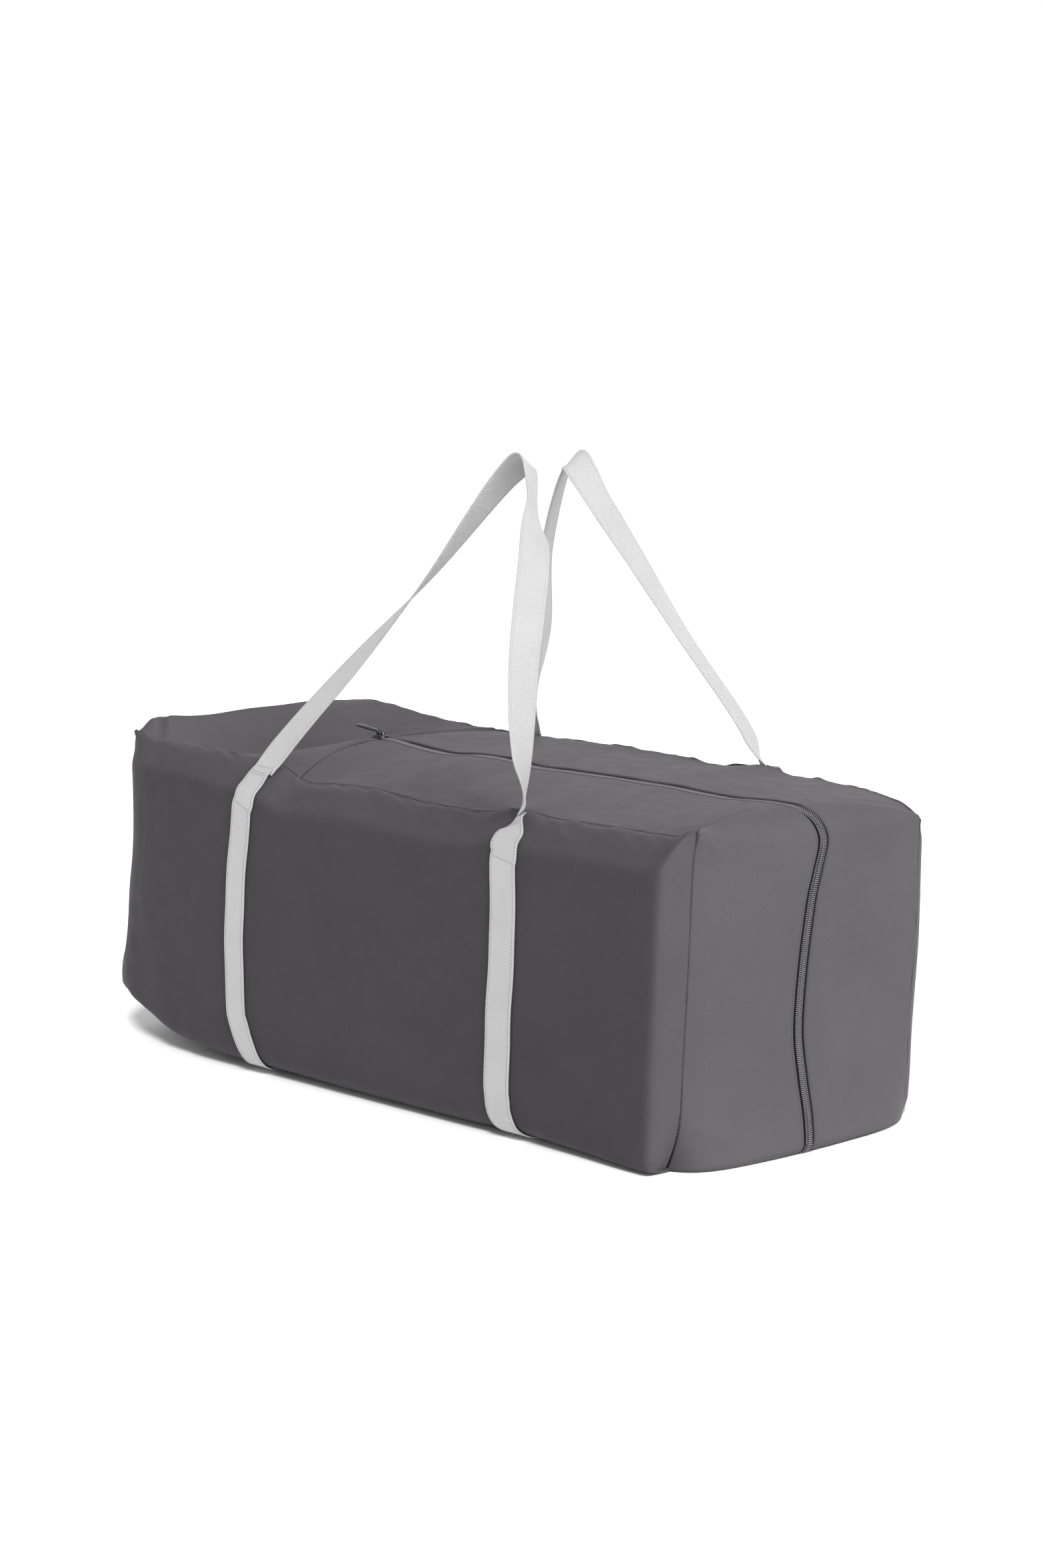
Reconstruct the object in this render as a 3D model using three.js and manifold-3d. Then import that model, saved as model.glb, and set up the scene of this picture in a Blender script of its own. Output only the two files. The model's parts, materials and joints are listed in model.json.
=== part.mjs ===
// A folded playpen packed in its soft carry bag, in millimetres.
// +X runs to the end that the zip turns down, -Y is the front side, +Z is up and the floor is z = 0.
import * as THREE from 'three';
import { mergeVertices } from 'three/addons/utils/BufferGeometryUtils.js';
import Module from 'manifold-3d';

const wasm = await Module();
wasm.setup();

// ---------------------------------------------------------------- driving dimensions of the bag
const END_X = 379;               // half the bag's length, at mid height
const MID_Z = 150;
const LEAN = 0.06;               // both ends lean towards +X by this share of the height
const CENTRE_X = 2.85;           // middle of the whole bag, which the part's frame calls x = 0
const CREST_Z = 300;             // the top cover's middle line
const EDGE_Z = 286;              // the top seams
const FLOOR_Z = 1.9;             // the bottom panel, on top of the two webbing bands
const SEAM_Y = 144;              // half the width of the strip over the top and down the ends
const SIDE_BULGE = 33;           // how far the side panels stand out past their seams
const END_BULGE = 6;
const SLACK_X = -200;            // left of this the bag is slack and lifts off the floor
const CROSS_X = -152;            // the cross seam where the zip starts
const CORNER_X = 345;            // the top flaps end here and the end panels begin
const CLOTH = 1.6;               // bag cloth with its lining
const SEAM_GAP = 1;              // from a cloth edge to its seam line
const CHAIN_EDGE = 5.5;          // the cloth stops this far from the zip's middle

const WEBBING_WIDTH = 30;
const WEBBING_THICK = 1.4;
const WEBBING_LIFT = 0.5;        // from the bag cloth to the webbing
const LEFT_BAND_X = -171;
const RIGHT_BAND_X = 187;
const HANDLE_Y = 157;            // the handles turn about these lines, at the top of the bands
const HANDLE_Z = 290;

const SLIDER_X = -165;
const SLIDER_Z = 301.3;
const PIN_Z = 305.6;             // the pull tab's pin

// ---------------------------------------------------------------- driving dimensions of the playpen
const CORE_Z = 143;              // middle height of the folded frame
const POST_SPREAD = 70;          // from the core's middle to each post, both ways
const RAIL_SPREAD = 24;
const POST_R = 12.5;
const RAIL_R = 11;
const ARM_R = 9;
const TUBE_WALL = 1.2;
const FIT = 0.3;                 // clearance round a tube or pin in its socket
const SOCKET = 14;               // depth of a socket
const BRACKET_X = [326, 364];
const FOOT_X = [-338, -300];
const WHEEL_X = -351;
const WHEEL_R = 18.5;
const WHEEL_WIDTH = 13;

const MAT_WIDTH = 242;           // the mattress folds in four: each quarter is 550 x 242 x 16
const MAT_THICK = 16;
const MAT_X = [-204, 346];
const MAT_FRONT_Y = 160;         // middles of the quarters
const MAT_TOP_Z = 268;
const MAT_LOW_Z = 15;
const MAT_SIDE_Z = 147;

const { clamp, lerp, smoothstep } = THREE.MathUtils;
const vec = (x, y, z) => new THREE.Vector3(x, y, z);

// ---------------------------------------------------------------- materials
const finish = (color, roughness, metalness = 0) =>
  new THREE.MeshStandardMaterial({ color, roughness, metalness });
const NYLON = finish(0x5a585b, 0.62);
const WEBBING = finish(0xd3d3d3, 0.75);
const COIL = finish(0x39373b, 0.5);
const ZIP_METAL = finish(0x4a484c, 0.35, 0.8);
const MAT_CLOTH = finish(0x55565a, 0.8);
const MESH_CLOTH = finish(0x6d6f73, 0.85);
const HOOK_TAPE = finish(0x2b2b2d, 0.9);
const STEEL = finish(0x8e9092, 0.4, 0.6);
const MOULDED = finish(0x3a3b3d, 0.55);
const TYRE = finish(0x1f1f20, 0.85);

const playpen = new THREE.Group();
playpen.position.x = -CENTRE_X;

function add(name, geometry, material) {
  const mesh = new THREE.Mesh(geometry, material);
  mesh.name = name;
  playpen.add(mesh);
}

// ---------------------------------------------------------------- closed solids and booleans
// A solid from points and triangles that already agree on a winding, turned to face out.
function closed(points, triangles) {
  const volume = triangles.reduce((sum, [a, b, c]) =>
    sum + points[a].dot(vec().crossVectors(points[b], points[c])), 0);
  const index = triangles.flatMap(([a, b, c]) => (volume > 0 ? [a, b, c] : [a, c, b]));
  const geometry = new THREE.BufferGeometry();
  geometry.setAttribute('position', new THREE.Float32BufferAttribute(points.flatMap((p) => p.toArray()), 3));
  geometry.setIndex(index);
  return geometry;
}

const quad = (a, b, c, d) => [[a, b, c], [a, c, d]];

// Cloth of even thickness: surface(u, v), lifted from low to high along its own normal (du x dv).
function sheet(surface, us, vs, low, high) {
  const step = 1e-3;
  const normal = (u, v) => {
    const du = surface(Math.min(u + step, us.at(-1)), v).sub(surface(Math.max(u - step, us[0]), v));
    const dv = surface(u, Math.min(v + step, vs.at(-1))).sub(surface(u, Math.max(v - step, vs[0])));
    return du.cross(dv).normalize();
  };
  const layer = (lift) =>
    us.flatMap((u) => vs.map((v) => surface(u, v).addScaledVector(normal(u, v), lift)));
  const [rows, columns] = [us.length, vs.length];
  const over = rows * columns;
  const triangles = [];
  for (let i = 0; i + 1 < rows; i++) {
    for (let j = 0; j + 1 < columns; j++) {
      const k = i * columns + j;
      triangles.push(...quad(over + k, over + k + columns, over + k + columns + 1, over + k + 1));
      triangles.push(...quad(k, k + 1, k + columns + 1, k + columns));
    }
  }
  const rim = [];
  for (let i = 0; i < rows; i++) rim.push(i * columns);
  for (let j = 1; j < columns; j++) rim.push((rows - 1) * columns + j);
  for (let i = rows - 2; i >= 0; i--) rim.push(i * columns + columns - 1);
  for (let j = columns - 2; j > 0; j--) rim.push(j);
  rim.forEach((a, i) => {
    const b = rim[(i + 1) % rim.length];
    triangles.push(...quad(a, b, over + b, over + a));
  });
  return closed([...layer(low), ...layer(high)], triangles);
}

// A strip of fixed section, [side, up] points, swept through frames { at, side, up }.
function sweep(section, frames) {
  const n = section.length;
  const points = frames.flatMap(({ at, side, up }) =>
    section.map(([s, t]) => at.clone().addScaledVector(side, s).addScaledVector(up, t)));
  const triangles = [];
  for (let i = 0; i + 1 < frames.length; i++) {
    for (let j = 0; j < n; j++) {
      const a = i * n + j;
      const b = i * n + ((j + 1) % n);
      triangles.push(...quad(a, a + n, b + n, b));
    }
  }
  const flat = section.map(([s, t]) => new THREE.Vector2(s, t));
  const turn = Math.sign(THREE.ShapeUtils.area(flat));
  const last = (frames.length - 1) * n;
  for (const [a, b, c] of THREE.ShapeUtils.triangulateShape(flat, [])) {
    const same = Math.sign(THREE.ShapeUtils.area([flat[a], flat[b], flat[c]])) === turn;
    const [p, q, r] = same ? [a, b, c] : [a, c, b];
    triangles.push([p, q, r], [last + p, last + r, last + q]);
  }
  return closed(points, triangles);
}

function manifoldOf(geometry) {
  const bare = geometry.clone();
  bare.deleteAttribute('normal');
  bare.deleteAttribute('uv');
  const merged = mergeVertices(bare, 1e-4);
  const vertProperties = new Float32Array(merged.attributes.position.array);
  const triVerts = new Uint32Array(merged.index.array);
  return new wasm.Manifold(new wasm.Mesh({ numProp: 3, vertProperties, triVerts }));
}

function geometryOf(solid) {
  const { numProp, vertProperties, triVerts } = solid.getMesh();
  const points = [];
  for (let i = 0; i < vertProperties.length; i += numProp) points.push(vec(...vertProperties.slice(i, i + 3)));
  const triangles = [];
  for (let i = 0; i < triVerts.length; i += 3) triangles.push([...triVerts.slice(i, i + 3)]);
  return closed(points, triangles);
}

const join = (...parts) => geometryOf(parts.map(manifoldOf).reduce((a, b) => a.add(b)));
const cut = (body, ...tools) =>
  geometryOf(tools.map(manifoldOf).reduce((a, b) => a.subtract(b), manifoldOf(body)));

// ---------------------------------------------------------------- plain shapes, all along X
// Moves a geometry drawn in XY and raised along Z so that it lies in YZ and runs along X from x0.
const layAlongX = (geometry, x0) =>
  geometry.applyMatrix4(new THREE.Matrix4().set(0, 0, 1, x0, 1, 0, 0, 0, 0, 1, 0, 0, 0, 0, 0, 1));

const extrudeX = (shape, x0, x1, curveSegments = 3) =>
  layAlongX(new THREE.ExtrudeGeometry(shape, { depth: x1 - x0, bevelEnabled: false, curveSegments }), x0);

function roundedRect(width, height, r, path = new THREE.Shape(), lowR = r) {
  const [w, h] = [width / 2, height / 2];
  path.absarc(w - r, h - r, r, 0, Math.PI / 2);
  path.absarc(r - w, h - r, r, Math.PI / 2, Math.PI);
  path.absarc(lowR - w, lowR - h, lowR, Math.PI, 1.5 * Math.PI);
  path.absarc(w - lowR, lowR - h, lowR, 1.5 * Math.PI, 2 * Math.PI);
  return path;
}

const block = (width, height, r, x0, x1, y, z) =>
  extrudeX(roundedRect(width, height, r), x0, x1).translate(0, y, z);

const rod = (r, x0, x1, y, z, sides = 10) =>
  new THREE.CylinderGeometry(r, r, x1 - x0, sides).rotateZ(-Math.PI / 2).translate((x0 + x1) / 2, y, z);

const rodAlongY = (r, y0, y1, x, z, sides = 10) =>
  new THREE.CylinderGeometry(r, r, y1 - y0, sides).translate(x, (y0 + y1) / 2, z);

const tube = (r, x0, x1, y, z) => cut(rod(r, x0, x1, y, z), rod(r - TUBE_WALL, x0 - 1, x1 + 1, y, z));

// A plate with round ends over the points (y0, z0) and (y1, z1).
function link(y0, z0, y1, z1, r, x0, x1) {
  const a = Math.atan2(z1 - z0, y1 - y0);
  const shape = new THREE.Shape();
  shape.absarc(y0, z0, r, a + Math.PI / 2, a + 1.5 * Math.PI);
  shape.absarc(y1, z1, r, a - Math.PI / 2, a + Math.PI / 2);
  return extrudeX(shape, x0, x1, 4);
}

const spread = (a, b, n) => Array.from({ length: n + 1 }, (_, i) => lerp(a, b, i / n));

// ---------------------------------------------------------------- outer form of the bag
const slack = (x) => clamp((SLACK_X - x) / 180, 0, 1);          // 0 over the full part, 1 at the left end
const crown = (y) => 1 - (y / SEAM_Y) ** 2;                     // 1 on the middle line, 0 on the seams
const seamY = (x) => SEAM_Y - 14 * slack(x) ** 2;
const bottomZ = (x) => FLOOR_Z + 32 * slack(x) ** 2;
const edgeZ = (x) => EDGE_Z + 10 * smoothstep(-x, 150, 215) + 12 * smoothstep(x, 352, 390);

// The ends of the bag. The right end's outer edges tuck in under the bag.
const tuck = (y, z) => 30 * Math.max(0, 1 - z / 55) ** 2 * (y / SEAM_Y) ** 8;
const rightX = (y, z) => END_X + LEAN * (z - MID_Z) + END_BULGE * crown(y) - tuck(y, z);
const leftX = (y, z) => -END_X + 4 + LEAN * (z - MID_Z) - END_BULGE * crown(y);

// The top cover. Left of the cross seam it is slack and dips behind the front edge.
function topZ(x, y) {
  const full = edgeZ(x) + (CREST_Z - edgeZ(x)) * crown(y);
  const across = clamp((y + SEAM_Y) / (2 * SEAM_Y), 0, 1);
  const along = smoothstep(-x, -CROSS_X, 240) * (1 - smoothstep(-x, 320, 372));
  return full - 30 * Math.sin(Math.PI * across ** 0.7) * along;
}

// A quarter of a squarish ellipse, from (1, 0) at t = 0 to (0, 1) at t = 1.
const SQUARE = 2 / 2.4;
const quarter = (t) => [Math.cos(t * Math.PI / 2), Math.sin(t * Math.PI / 2)].map((c) => Math.max(0, c) ** SQUARE);

// A side panel in section at x, standing out by `out`: [distance from the middle, height].
// k 0..1 is the upper shoulder, 1..2 the flat side and 2..3 the lower shoulder.
const UPPER_R = 28;
const LOWER_R = 38;
function sideSection(x, k, out) {
  const [top, bottom] = [edgeZ(x), bottomZ(x)];
  if (k > 1 && k < 2) return [seamY(x) + out, lerp(top - UPPER_R, bottom + LOWER_R, k - 1)];
  const [c, s] = quarter(k <= 1 ? k : 3 - k);
  return [seamY(x) + out * s, k <= 1 ? top - UPPER_R * (1 - c) : bottom + LOWER_R * (1 - c)];
}

// How far a side panel stands out at x: all the way in the middle, nothing at its upright edges.
function bulge(x, left, right) {
  const edge = (d, r) => (1 - clamp(1 - d / r, 0, 1) ** 2.4) ** (1 / 2.4);
  return (SIDE_BULGE - 9 * slack(x) ** 2) * edge(right - x, 13) * edge(x - left, 30);
}

// side is -1 for the front and 1 for the back; u runs along X from edge to edge.
function sidePoint(side, u, k) {
  const z = sideSection(lerp(-END_X, END_X, u), k, SIDE_BULGE)[1];
  const [left, right] = [leftX(SEAM_Y, z) + SEAM_GAP, rightX(SEAM_Y, z) - SEAM_GAP];
  const x = lerp(left, right, u);
  const [y, height] = sideSection(x, k, bulge(x, left, right));
  return vec(x, side * y, height);
}

// Where the panels and the webbing on them bend, so that the facets of both lie parallel.
const SHOULDER_STOPS = [0, 0.25, 0.45, 0.65, 0.85, 1];
const HEEL_STOPS = [2, 2.25, 2.5, 2.75, 3];

function sideAt(side, x, k) {
  const [y, z] = sideSection(x, k, bulge(x, -END_X, END_X));
  return vec(x, side * y, z);
}

// The strip over one end (1 right, -1 left) at width y. s 0..1 runs along the top from startX, 1..2 round
// the upper corner, 2..3 down the end and 3..4 round the lower corner.
function stripPoint(end, startX, s, y) {
  const face = (z) => (end > 0 ? rightX(y, z) : leftX(y, z));
  const upper = end * (end > 0 ? 4 + 26 * crown(y) : 10 + 8 * crown(y));
  const lower = end * (end > 0 ? 3 + 12 * crown(y) : 14 + 6 * crown(y));
  const top = topZ(face(CREST_Z) - upper, y);
  const kneeZ = top - Math.abs(upper);
  const base = bottomZ(face(0) - lower);
  const heelZ = base + Math.abs(lower);
  let point;
  if (s <= 1) {
    const x = lerp(startX, face(kneeZ) - upper, s);
    point = vec(x, y, topZ(x, y));
  } else if (s <= 2) {
    const a = (s - 1) * Math.PI / 2;
    point = vec(face(kneeZ) + upper * (Math.sin(a) - 1), y, kneeZ + Math.abs(upper) * Math.cos(a));
  } else if (s <= 3) {
    const z = lerp(kneeZ, heelZ, s - 2);
    point = vec(face(z), y, z);
  } else {
    const a = (s - 3) * Math.PI / 2;
    point = vec(face(heelZ) + lower * (Math.cos(a) - 1), y, heelZ - Math.abs(lower) * Math.sin(a));
  }
  point.y *= seamY(point.x) / SEAM_Y;
  return point;
}

const STRIP_EDGE = SEAM_Y - SEAM_GAP;
const FLOOR_EDGE = STRIP_EDGE - 0.7;
const STRIP_STATIONS = [0, 1, 1.25, 1.5, 1.75, 2, 2.33, 2.67, 3, 3.33, 3.67, 4];

// ---------------------------------------------------------------- cloth panels
function bagCloth() {
  const us = [0, 0.003, 0.012, 0.04, 0.1, 0.16, ...spread(0.21, 0.31, 8), 0.34, 0.42, 0.6, 0.8,
    0.94, 0.983, 0.993, 0.998, 1];
  const ks = [...SHOULDER_STOPS, ...HEEL_STOPS];
  add('front_panel', sheet((u, k) => sidePoint(-1, u, k), us, ks, 0, CLOTH), NYLON);
  add('back_panel', sheet((u, k) => sidePoint(1, u, k), us, ks, -CLOTH, 0), NYLON);

  const flap = (x, y) => vec(x, y, topZ(x, y));
  const flapXs = spread(CROSS_X + SEAM_GAP, CORNER_X - SEAM_GAP, 6);
  add('top_front_flap', sheet(flap, flapXs, spread(-STRIP_EDGE, -CHAIN_EDGE, 6), -CLOTH, 0), NYLON);
  add('top_back_flap', sheet(flap, flapXs, spread(CHAIN_EDGE, STRIP_EDGE, 6), -CLOTH, 0), NYLON);

  const rightEnd = (s, y) => stripPoint(1, CORNER_X, s, y);
  add('end_front_panel', sheet(rightEnd, STRIP_STATIONS, spread(-STRIP_EDGE, -CHAIN_EDGE, 6), -CLOTH, 0), NYLON);
  add('end_back_panel', sheet(rightEnd, STRIP_STATIONS, spread(CHAIN_EDGE, STRIP_EDGE, 6), -CLOTH, 0), NYLON);

  const leftEnd = (s, y) => stripPoint(-1, CROSS_X - SEAM_GAP, s, y);
  const leftStations = [0, 0.2, 0.4, 0.6, 0.8, ...STRIP_STATIONS.slice(1)];
  add('left_gusset', sheet(leftEnd, leftStations, spread(-STRIP_EDGE, STRIP_EDGE, 10), 0, CLOTH), NYLON);

  const floor = (u, y) => {
    const left = stripPoint(-1, CROSS_X, 4, y).x + 2 * SEAM_GAP;
    const x = lerp(left, stripPoint(1, CORNER_X, 4, y).x - 2 * SEAM_GAP, u);
    return vec(x, y * seamY(x) / SEAM_Y, bottomZ(x));
  };
  add('bottom_panel', sheet(floor, spread(0, 1, 12), spread(-FLOOR_EDGE, FLOOR_EDGE, 8), 0, CLOTH), NYLON);
}

// ---------------------------------------------------------------- zip
const TAPE_EDGE = 14;            // half the width of the zip's two tapes
const CHAIN_HALF = 4.2;
const CHAIN_TOP = 0.5;           // the coil stands this far above the cloth
// On the stiff flaps each row of coil stops short of the middle, so that it rises clear of the slider.
const OPEN_EDGE = 4.3;
const HALF_ZIP = [[OPEN_EDGE, -2.9], [TAPE_EDGE, -2.9], [TAPE_EDGE, -2.1], [OPEN_EDGE + 0.8, -2.1],
  [OPEN_EDGE + 0.8, CHAIN_TOP], [OPEN_EDGE, CHAIN_TOP]];
const WHOLE_ZIP = [[-TAPE_EDGE, -2.9], [TAPE_EDGE, -2.9], [TAPE_EDGE, -2.1], [CHAIN_HALF, -2.1],
  [CHAIN_HALF, CHAIN_TOP], [-CHAIN_HALF, CHAIN_TOP], [-CHAIN_HALF, -2.1], [-TAPE_EDGE, -2.1]];

function zip() {
  const run = spread(CROSS_X + SEAM_GAP, CORNER_X - SEAM_GAP, 6)
    .map((x) => ({ at: vec(x, 0, topZ(x, 0)), side: vec(0, 1, 0), up: vec(0, 0, 1) }));
  add('zip_back_half', sweep(HALF_ZIP, run), COIL);
  add('zip_front_half', sweep(HALF_ZIP.map(([s, t]) => [-s, t]), run), COIL);

  const bend = (s) => stripPoint(1, CORNER_X, s, 0);
  const down = STRIP_STATIONS.map((s) => {
    const along = bend(Math.min(4, s + 1e-3)).sub(bend(Math.max(0, s - 1e-3))).normalize();
    return { at: bend(s), side: vec(0, 1, 0), up: along.cross(vec(0, 1, 0)) };
  });
  add('end_zip', sweep(WHOLE_ZIP, down), COIL);

  const stop = spread(SLIDER_X - 9, CROSS_X - SEAM_GAP, 2)
    .map((x) => ({ at: vec(x, 0, topZ(x, 0)), side: vec(0, 1, 0), up: vec(0, 0, 1) }));
  add('zip_start_stop', sweep([[-4, 0.3], [4, 0.3], [4, 1.2], [-4, 1.2]], stop), COIL);
}

function slider() {
  const plate = block(8, 2.2, 0.9, SLIDER_X - 7, SLIDER_X + 7, 0, SLIDER_Z + 1.1);
  const ears = [-1, 1].map((side) => block(1.2, 6, 0.5, SLIDER_X - 2.4, SLIDER_X + 2.4, 3 * side, SLIDER_Z + 4.2));
  add('zip_slider', join(plate, ...ears, rodAlongY(0.8, -3, 3, SLIDER_X, PIN_Z, 8)), ZIP_METAL);

  const eye = rodAlongY(2.1, -2, 2, 0, 0, 12);
  const neck = new THREE.BoxGeometry(9, 4, 1.6).translate(-5.5, 0, 0);
  const tab = new THREE.BoxGeometry(24, 7, 1.6).translate(-20.5, 0, 0);
  const pull = cut(join(eye, neck, tab), rodAlongY(1.2, -3, 3, 0, 0, 10));
  add('pull_tab', pull.rotateY(THREE.MathUtils.degToRad(6)).translate(SLIDER_X, 0, PIN_Z), ZIP_METAL);
}

// ---------------------------------------------------------------- webbing
// A band runs from the front handle down the front, under the bag and up the back. At each top it leans
// over to meet its handle.
function band(name, x, frontTopX, backTopX) {
  const half = WEBBING_WIDTH / 2;
  const across = (u, k, topX) => x + (u - 0.5) * 2 * half + (topX - x) * (1 - smoothstep(k, 0.3, 1.25));
  const under = (u, y) => {
    const [at, z] = [x + (u - 0.5) * 2 * half, FLOOR_Z];
    return vec(at, y, Math.min(z, bottomZ(at)));
  };
  const path = (u, v) => {
    if (v <= 3) return sideAt(-1, across(u, v, frontTopX), v);
    if (v < 4) return under(u, lerp(-SEAM_Y, SEAM_Y, v - 3));
    return sideAt(1, across(u, 7 - v, backTopX), 7 - v);
  };
  const run = [...SHOULDER_STOPS.slice(1), ...HEEL_STOPS];
  const stops = [...run, 3.5, ...run.map((k) => 7 - k).reverse()];
  add(name, sheet(path, spread(0, 1, 4), stops, -WEBBING_LIFT - WEBBING_THICK, -WEBBING_LIFT), WEBBING);
}

// A handle is one length of webbing over the points of its middle line. Its face turns from lying on
// the bag at both bases, where it is sewn on square to the bag, to lying across the loop; turns gives that
// turn at each point, 0 flat to 1 across.
function handle(name, out, points, turns) {
  const line = new THREE.CatmullRomCurve3(points.map((p) => vec(...p)), false, 'centripetal');
  const plane = vec(0, out * (HANDLE_Z - points[4][2]), out * points[4][1] - HANDLE_Y).normalize();
  const turn = new THREE.CatmullRomCurve3(turns.map((t, i) => vec(i, t, 0)), false, 'centripetal');
  const steps = 28;
  const frames = spread(0, 1, steps).map((t) => {
    const along = line.getTangent(t).normalize();
    const flat = vec().crossVectors(along, plane).normalize();
    const angle = clamp(turn.getPoint(t).y, 0, 1) * Math.PI / 2;
    const side = flat.multiplyScalar(Math.cos(angle)).addScaledVector(plane, Math.sin(angle));
    const sewn = 1 - smoothstep(Math.min(t, 1 - t), 0, 0.1);
    side.lerp(vec(Math.sign(side.x), 0, 0), sewn).normalize();
    return { at: line.getPoint(t), side, up: vec().crossVectors(along, side).normalize() };
  });
  const [w, h] = [WEBBING_WIDTH / 2, WEBBING_THICK / 2];
  add(name, sweep([[-w, -h], [w, -h], [w, h], [-w, h]], frames), WEBBING);
}

function webbing() {
  band('left_band', LEFT_BAND_X, -151, -126);
  band('right_band', RIGHT_BAND_X, 192, 188);
  handle('front_handle', -1, [[-150, -156, 292.5], [-128, -137, 330], [-92, -102, 397], [-52, -60, 466],
    [12, 5, 573], [62, -8, 556], [112, -58, 500], [152, -110, 410], [180, -140, 330], [191, -156, 292.5]],
  [0, 0, 0.1, 0.55, 1, 1, 1, 0.9, 0.35, 0]);
  handle('back_handle', 1, [[-122, 156, 292.5], [-108, 149, 324], [-66, 118, 395], [-16, 86, 480],
    [48, 62, 577], [84, 76, 534], [108, 92, 486], [146, 118, 410], [178, 144, 330], [188, 156, 292.5]],
  [0, 0.5, 1, 1, 1, 1, 1, 0.9, 0.4, 0]);
}

// ---------------------------------------------------------------- folded frame
// Each post has a bracket at the right with the ends of two folded rails, and a foot at the left with
// the end of a floor arm. Two of the feet carry wheels.
const POSTS = [
  { name: 'front_low', y: -1, z: -1, wheel: true },
  { name: 'front_high', y: -1, z: 1, wheel: false },
  { name: 'back_low', y: 1, z: -1, wheel: true },
  { name: 'back_high', y: 1, z: 1, wheel: false },
];

function postGroup({ name, y, z, wheel }) {
  const [py, pz] = [y * POST_SPREAD, CORE_Z + z * POST_SPREAD];
  const [ry, rz] = [y * RAIL_SPREAD, CORE_Z + z * RAIL_SPREAD];
  const [bracketFace, bracketEnd] = BRACKET_X;
  const [footEnd, footFace] = FOOT_X;
  const inBracket = bracketFace + SOCKET - FIT;
  const inFoot = footFace - SOCKET + FIT;
  add(`post_${name}`, tube(POST_R, inFoot, inBracket, py, pz), STEEL);
  add(`long_rail_${name}`, tube(RAIL_R, LONG_LOCK_X[1] - SOCKET + FIT, inBracket, py, rz), STEEL);
  add(`short_rail_${name}`, tube(RAIL_R, SHORT_LOCK_X[1] - SOCKET + FIT, inBracket, ry, pz), STEEL);
  add(`floor_arm_${name}`, tube(ARM_R, inFoot, HUB_X[0] + SOCKET - FIT, ry, rz), STEEL);

  const socket = (r, at, cy, cz) => rod(r + FIT, at - SOCKET, at + SOCKET, cy, cz);
  const elbow = join(link(py, pz, py, rz, 19, bracketFace, bracketEnd),
    link(py, pz, ry, pz, 19, bracketFace, bracketEnd));
  add(`corner_bracket_${name}`, cut(elbow, socket(POST_R, bracketFace, py, pz),
    socket(RAIL_R, bracketFace, py, rz), socket(RAIL_R, bracketFace, ry, pz)), MOULDED);

  const leg = link(py, pz, ry, rz, 18, footEnd, footFace);
  const sockets = [socket(POST_R, footFace, py, pz), socket(ARM_R, footFace, ry, rz)];
  if (!wheel) {
    const pad = rod(20, footEnd - 16, footEnd + 4, py, pz, 14);
    add(`foot_${name}`, cut(join(leg, pad), ...sockets), MOULDED);
    return;
  }
  const fork = block(30, 30, 5, WHEEL_X - 8, footEnd + 4, py, pz);
  const slot = block(WHEEL_WIDTH + 2, 2 * WHEEL_R + 4, 1, WHEEL_X - 20, WHEEL_X + WHEEL_R + 2, py, pz);
  const axleHole = rodAlongY(3 + FIT, py - 20, py + 20, WHEEL_X, pz, 10);
  add(`foot_${name}`, cut(join(leg, fork), slot, axleHole, ...sockets), MOULDED);
  add(`axle_${name}`, rodAlongY(3, py - 14.6, py + 14.6, WHEEL_X, pz, 10), STEEL);
  const tread = [[3 + FIT, -0.5], [WHEEL_R - 3, -0.5], [WHEEL_R, -0.28], [WHEEL_R, 0.28], [WHEEL_R - 3, 0.5],
    [3 + FIT, 0.5], [3 + FIT, -0.5]].map(([r, h]) => new THREE.Vector2(r, h * WHEEL_WIDTH));
  add(`wheel_${name}`, new THREE.LatheGeometry(tread, 20).translate(WHEEL_X, py, pz), TYRE);
}

// The locks at the middle of the folded rails, each over the ends of both its rail halves.
const LONG_LOCK_X = [-252, -206];
const SHORT_LOCK_X = [20, 66];
const HUB_X = [250, 300];

function lock(name, a, b, [x0, x1]) {
  const body = link(...a, ...b, 16, x0, x1);
  const sockets = [a, b].map(([y, z]) => rod(RAIL_R + FIT, x1 - SOCKET, x1 + SOCKET, y, z));
  add(name, cut(body, ...sockets), MOULDED);
}

function frame() {
  POSTS.forEach(postGroup);
  const [high, low] = [CORE_Z + POST_SPREAD, CORE_Z - POST_SPREAD];
  const [upper, lower] = [CORE_Z + RAIL_SPREAD, CORE_Z - RAIL_SPREAD];
  lock('long_rail_lock_front', [-POST_SPREAD, lower], [-POST_SPREAD, upper], LONG_LOCK_X);
  lock('long_rail_lock_back', [POST_SPREAD, lower], [POST_SPREAD, upper], LONG_LOCK_X);
  lock('short_rail_lock_low', [-RAIL_SPREAD, low], [RAIL_SPREAD, low], SHORT_LOCK_X);
  lock('short_rail_lock_high', [-RAIL_SPREAD, high], [RAIL_SPREAD, high], SHORT_LOCK_X);

  const arms = [-1, 1].flatMap((y) => [-1, 1].map((z) =>
    rod(ARM_R + FIT, HUB_X[0] - SOCKET, HUB_X[0] + SOCKET, y * RAIL_SPREAD, CORE_Z + z * RAIL_SPREAD)));
  add('floor_hub', cut(block(80, 80, 12, ...HUB_X, 0, CORE_Z), ...arms), MOULDED);
}

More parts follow.
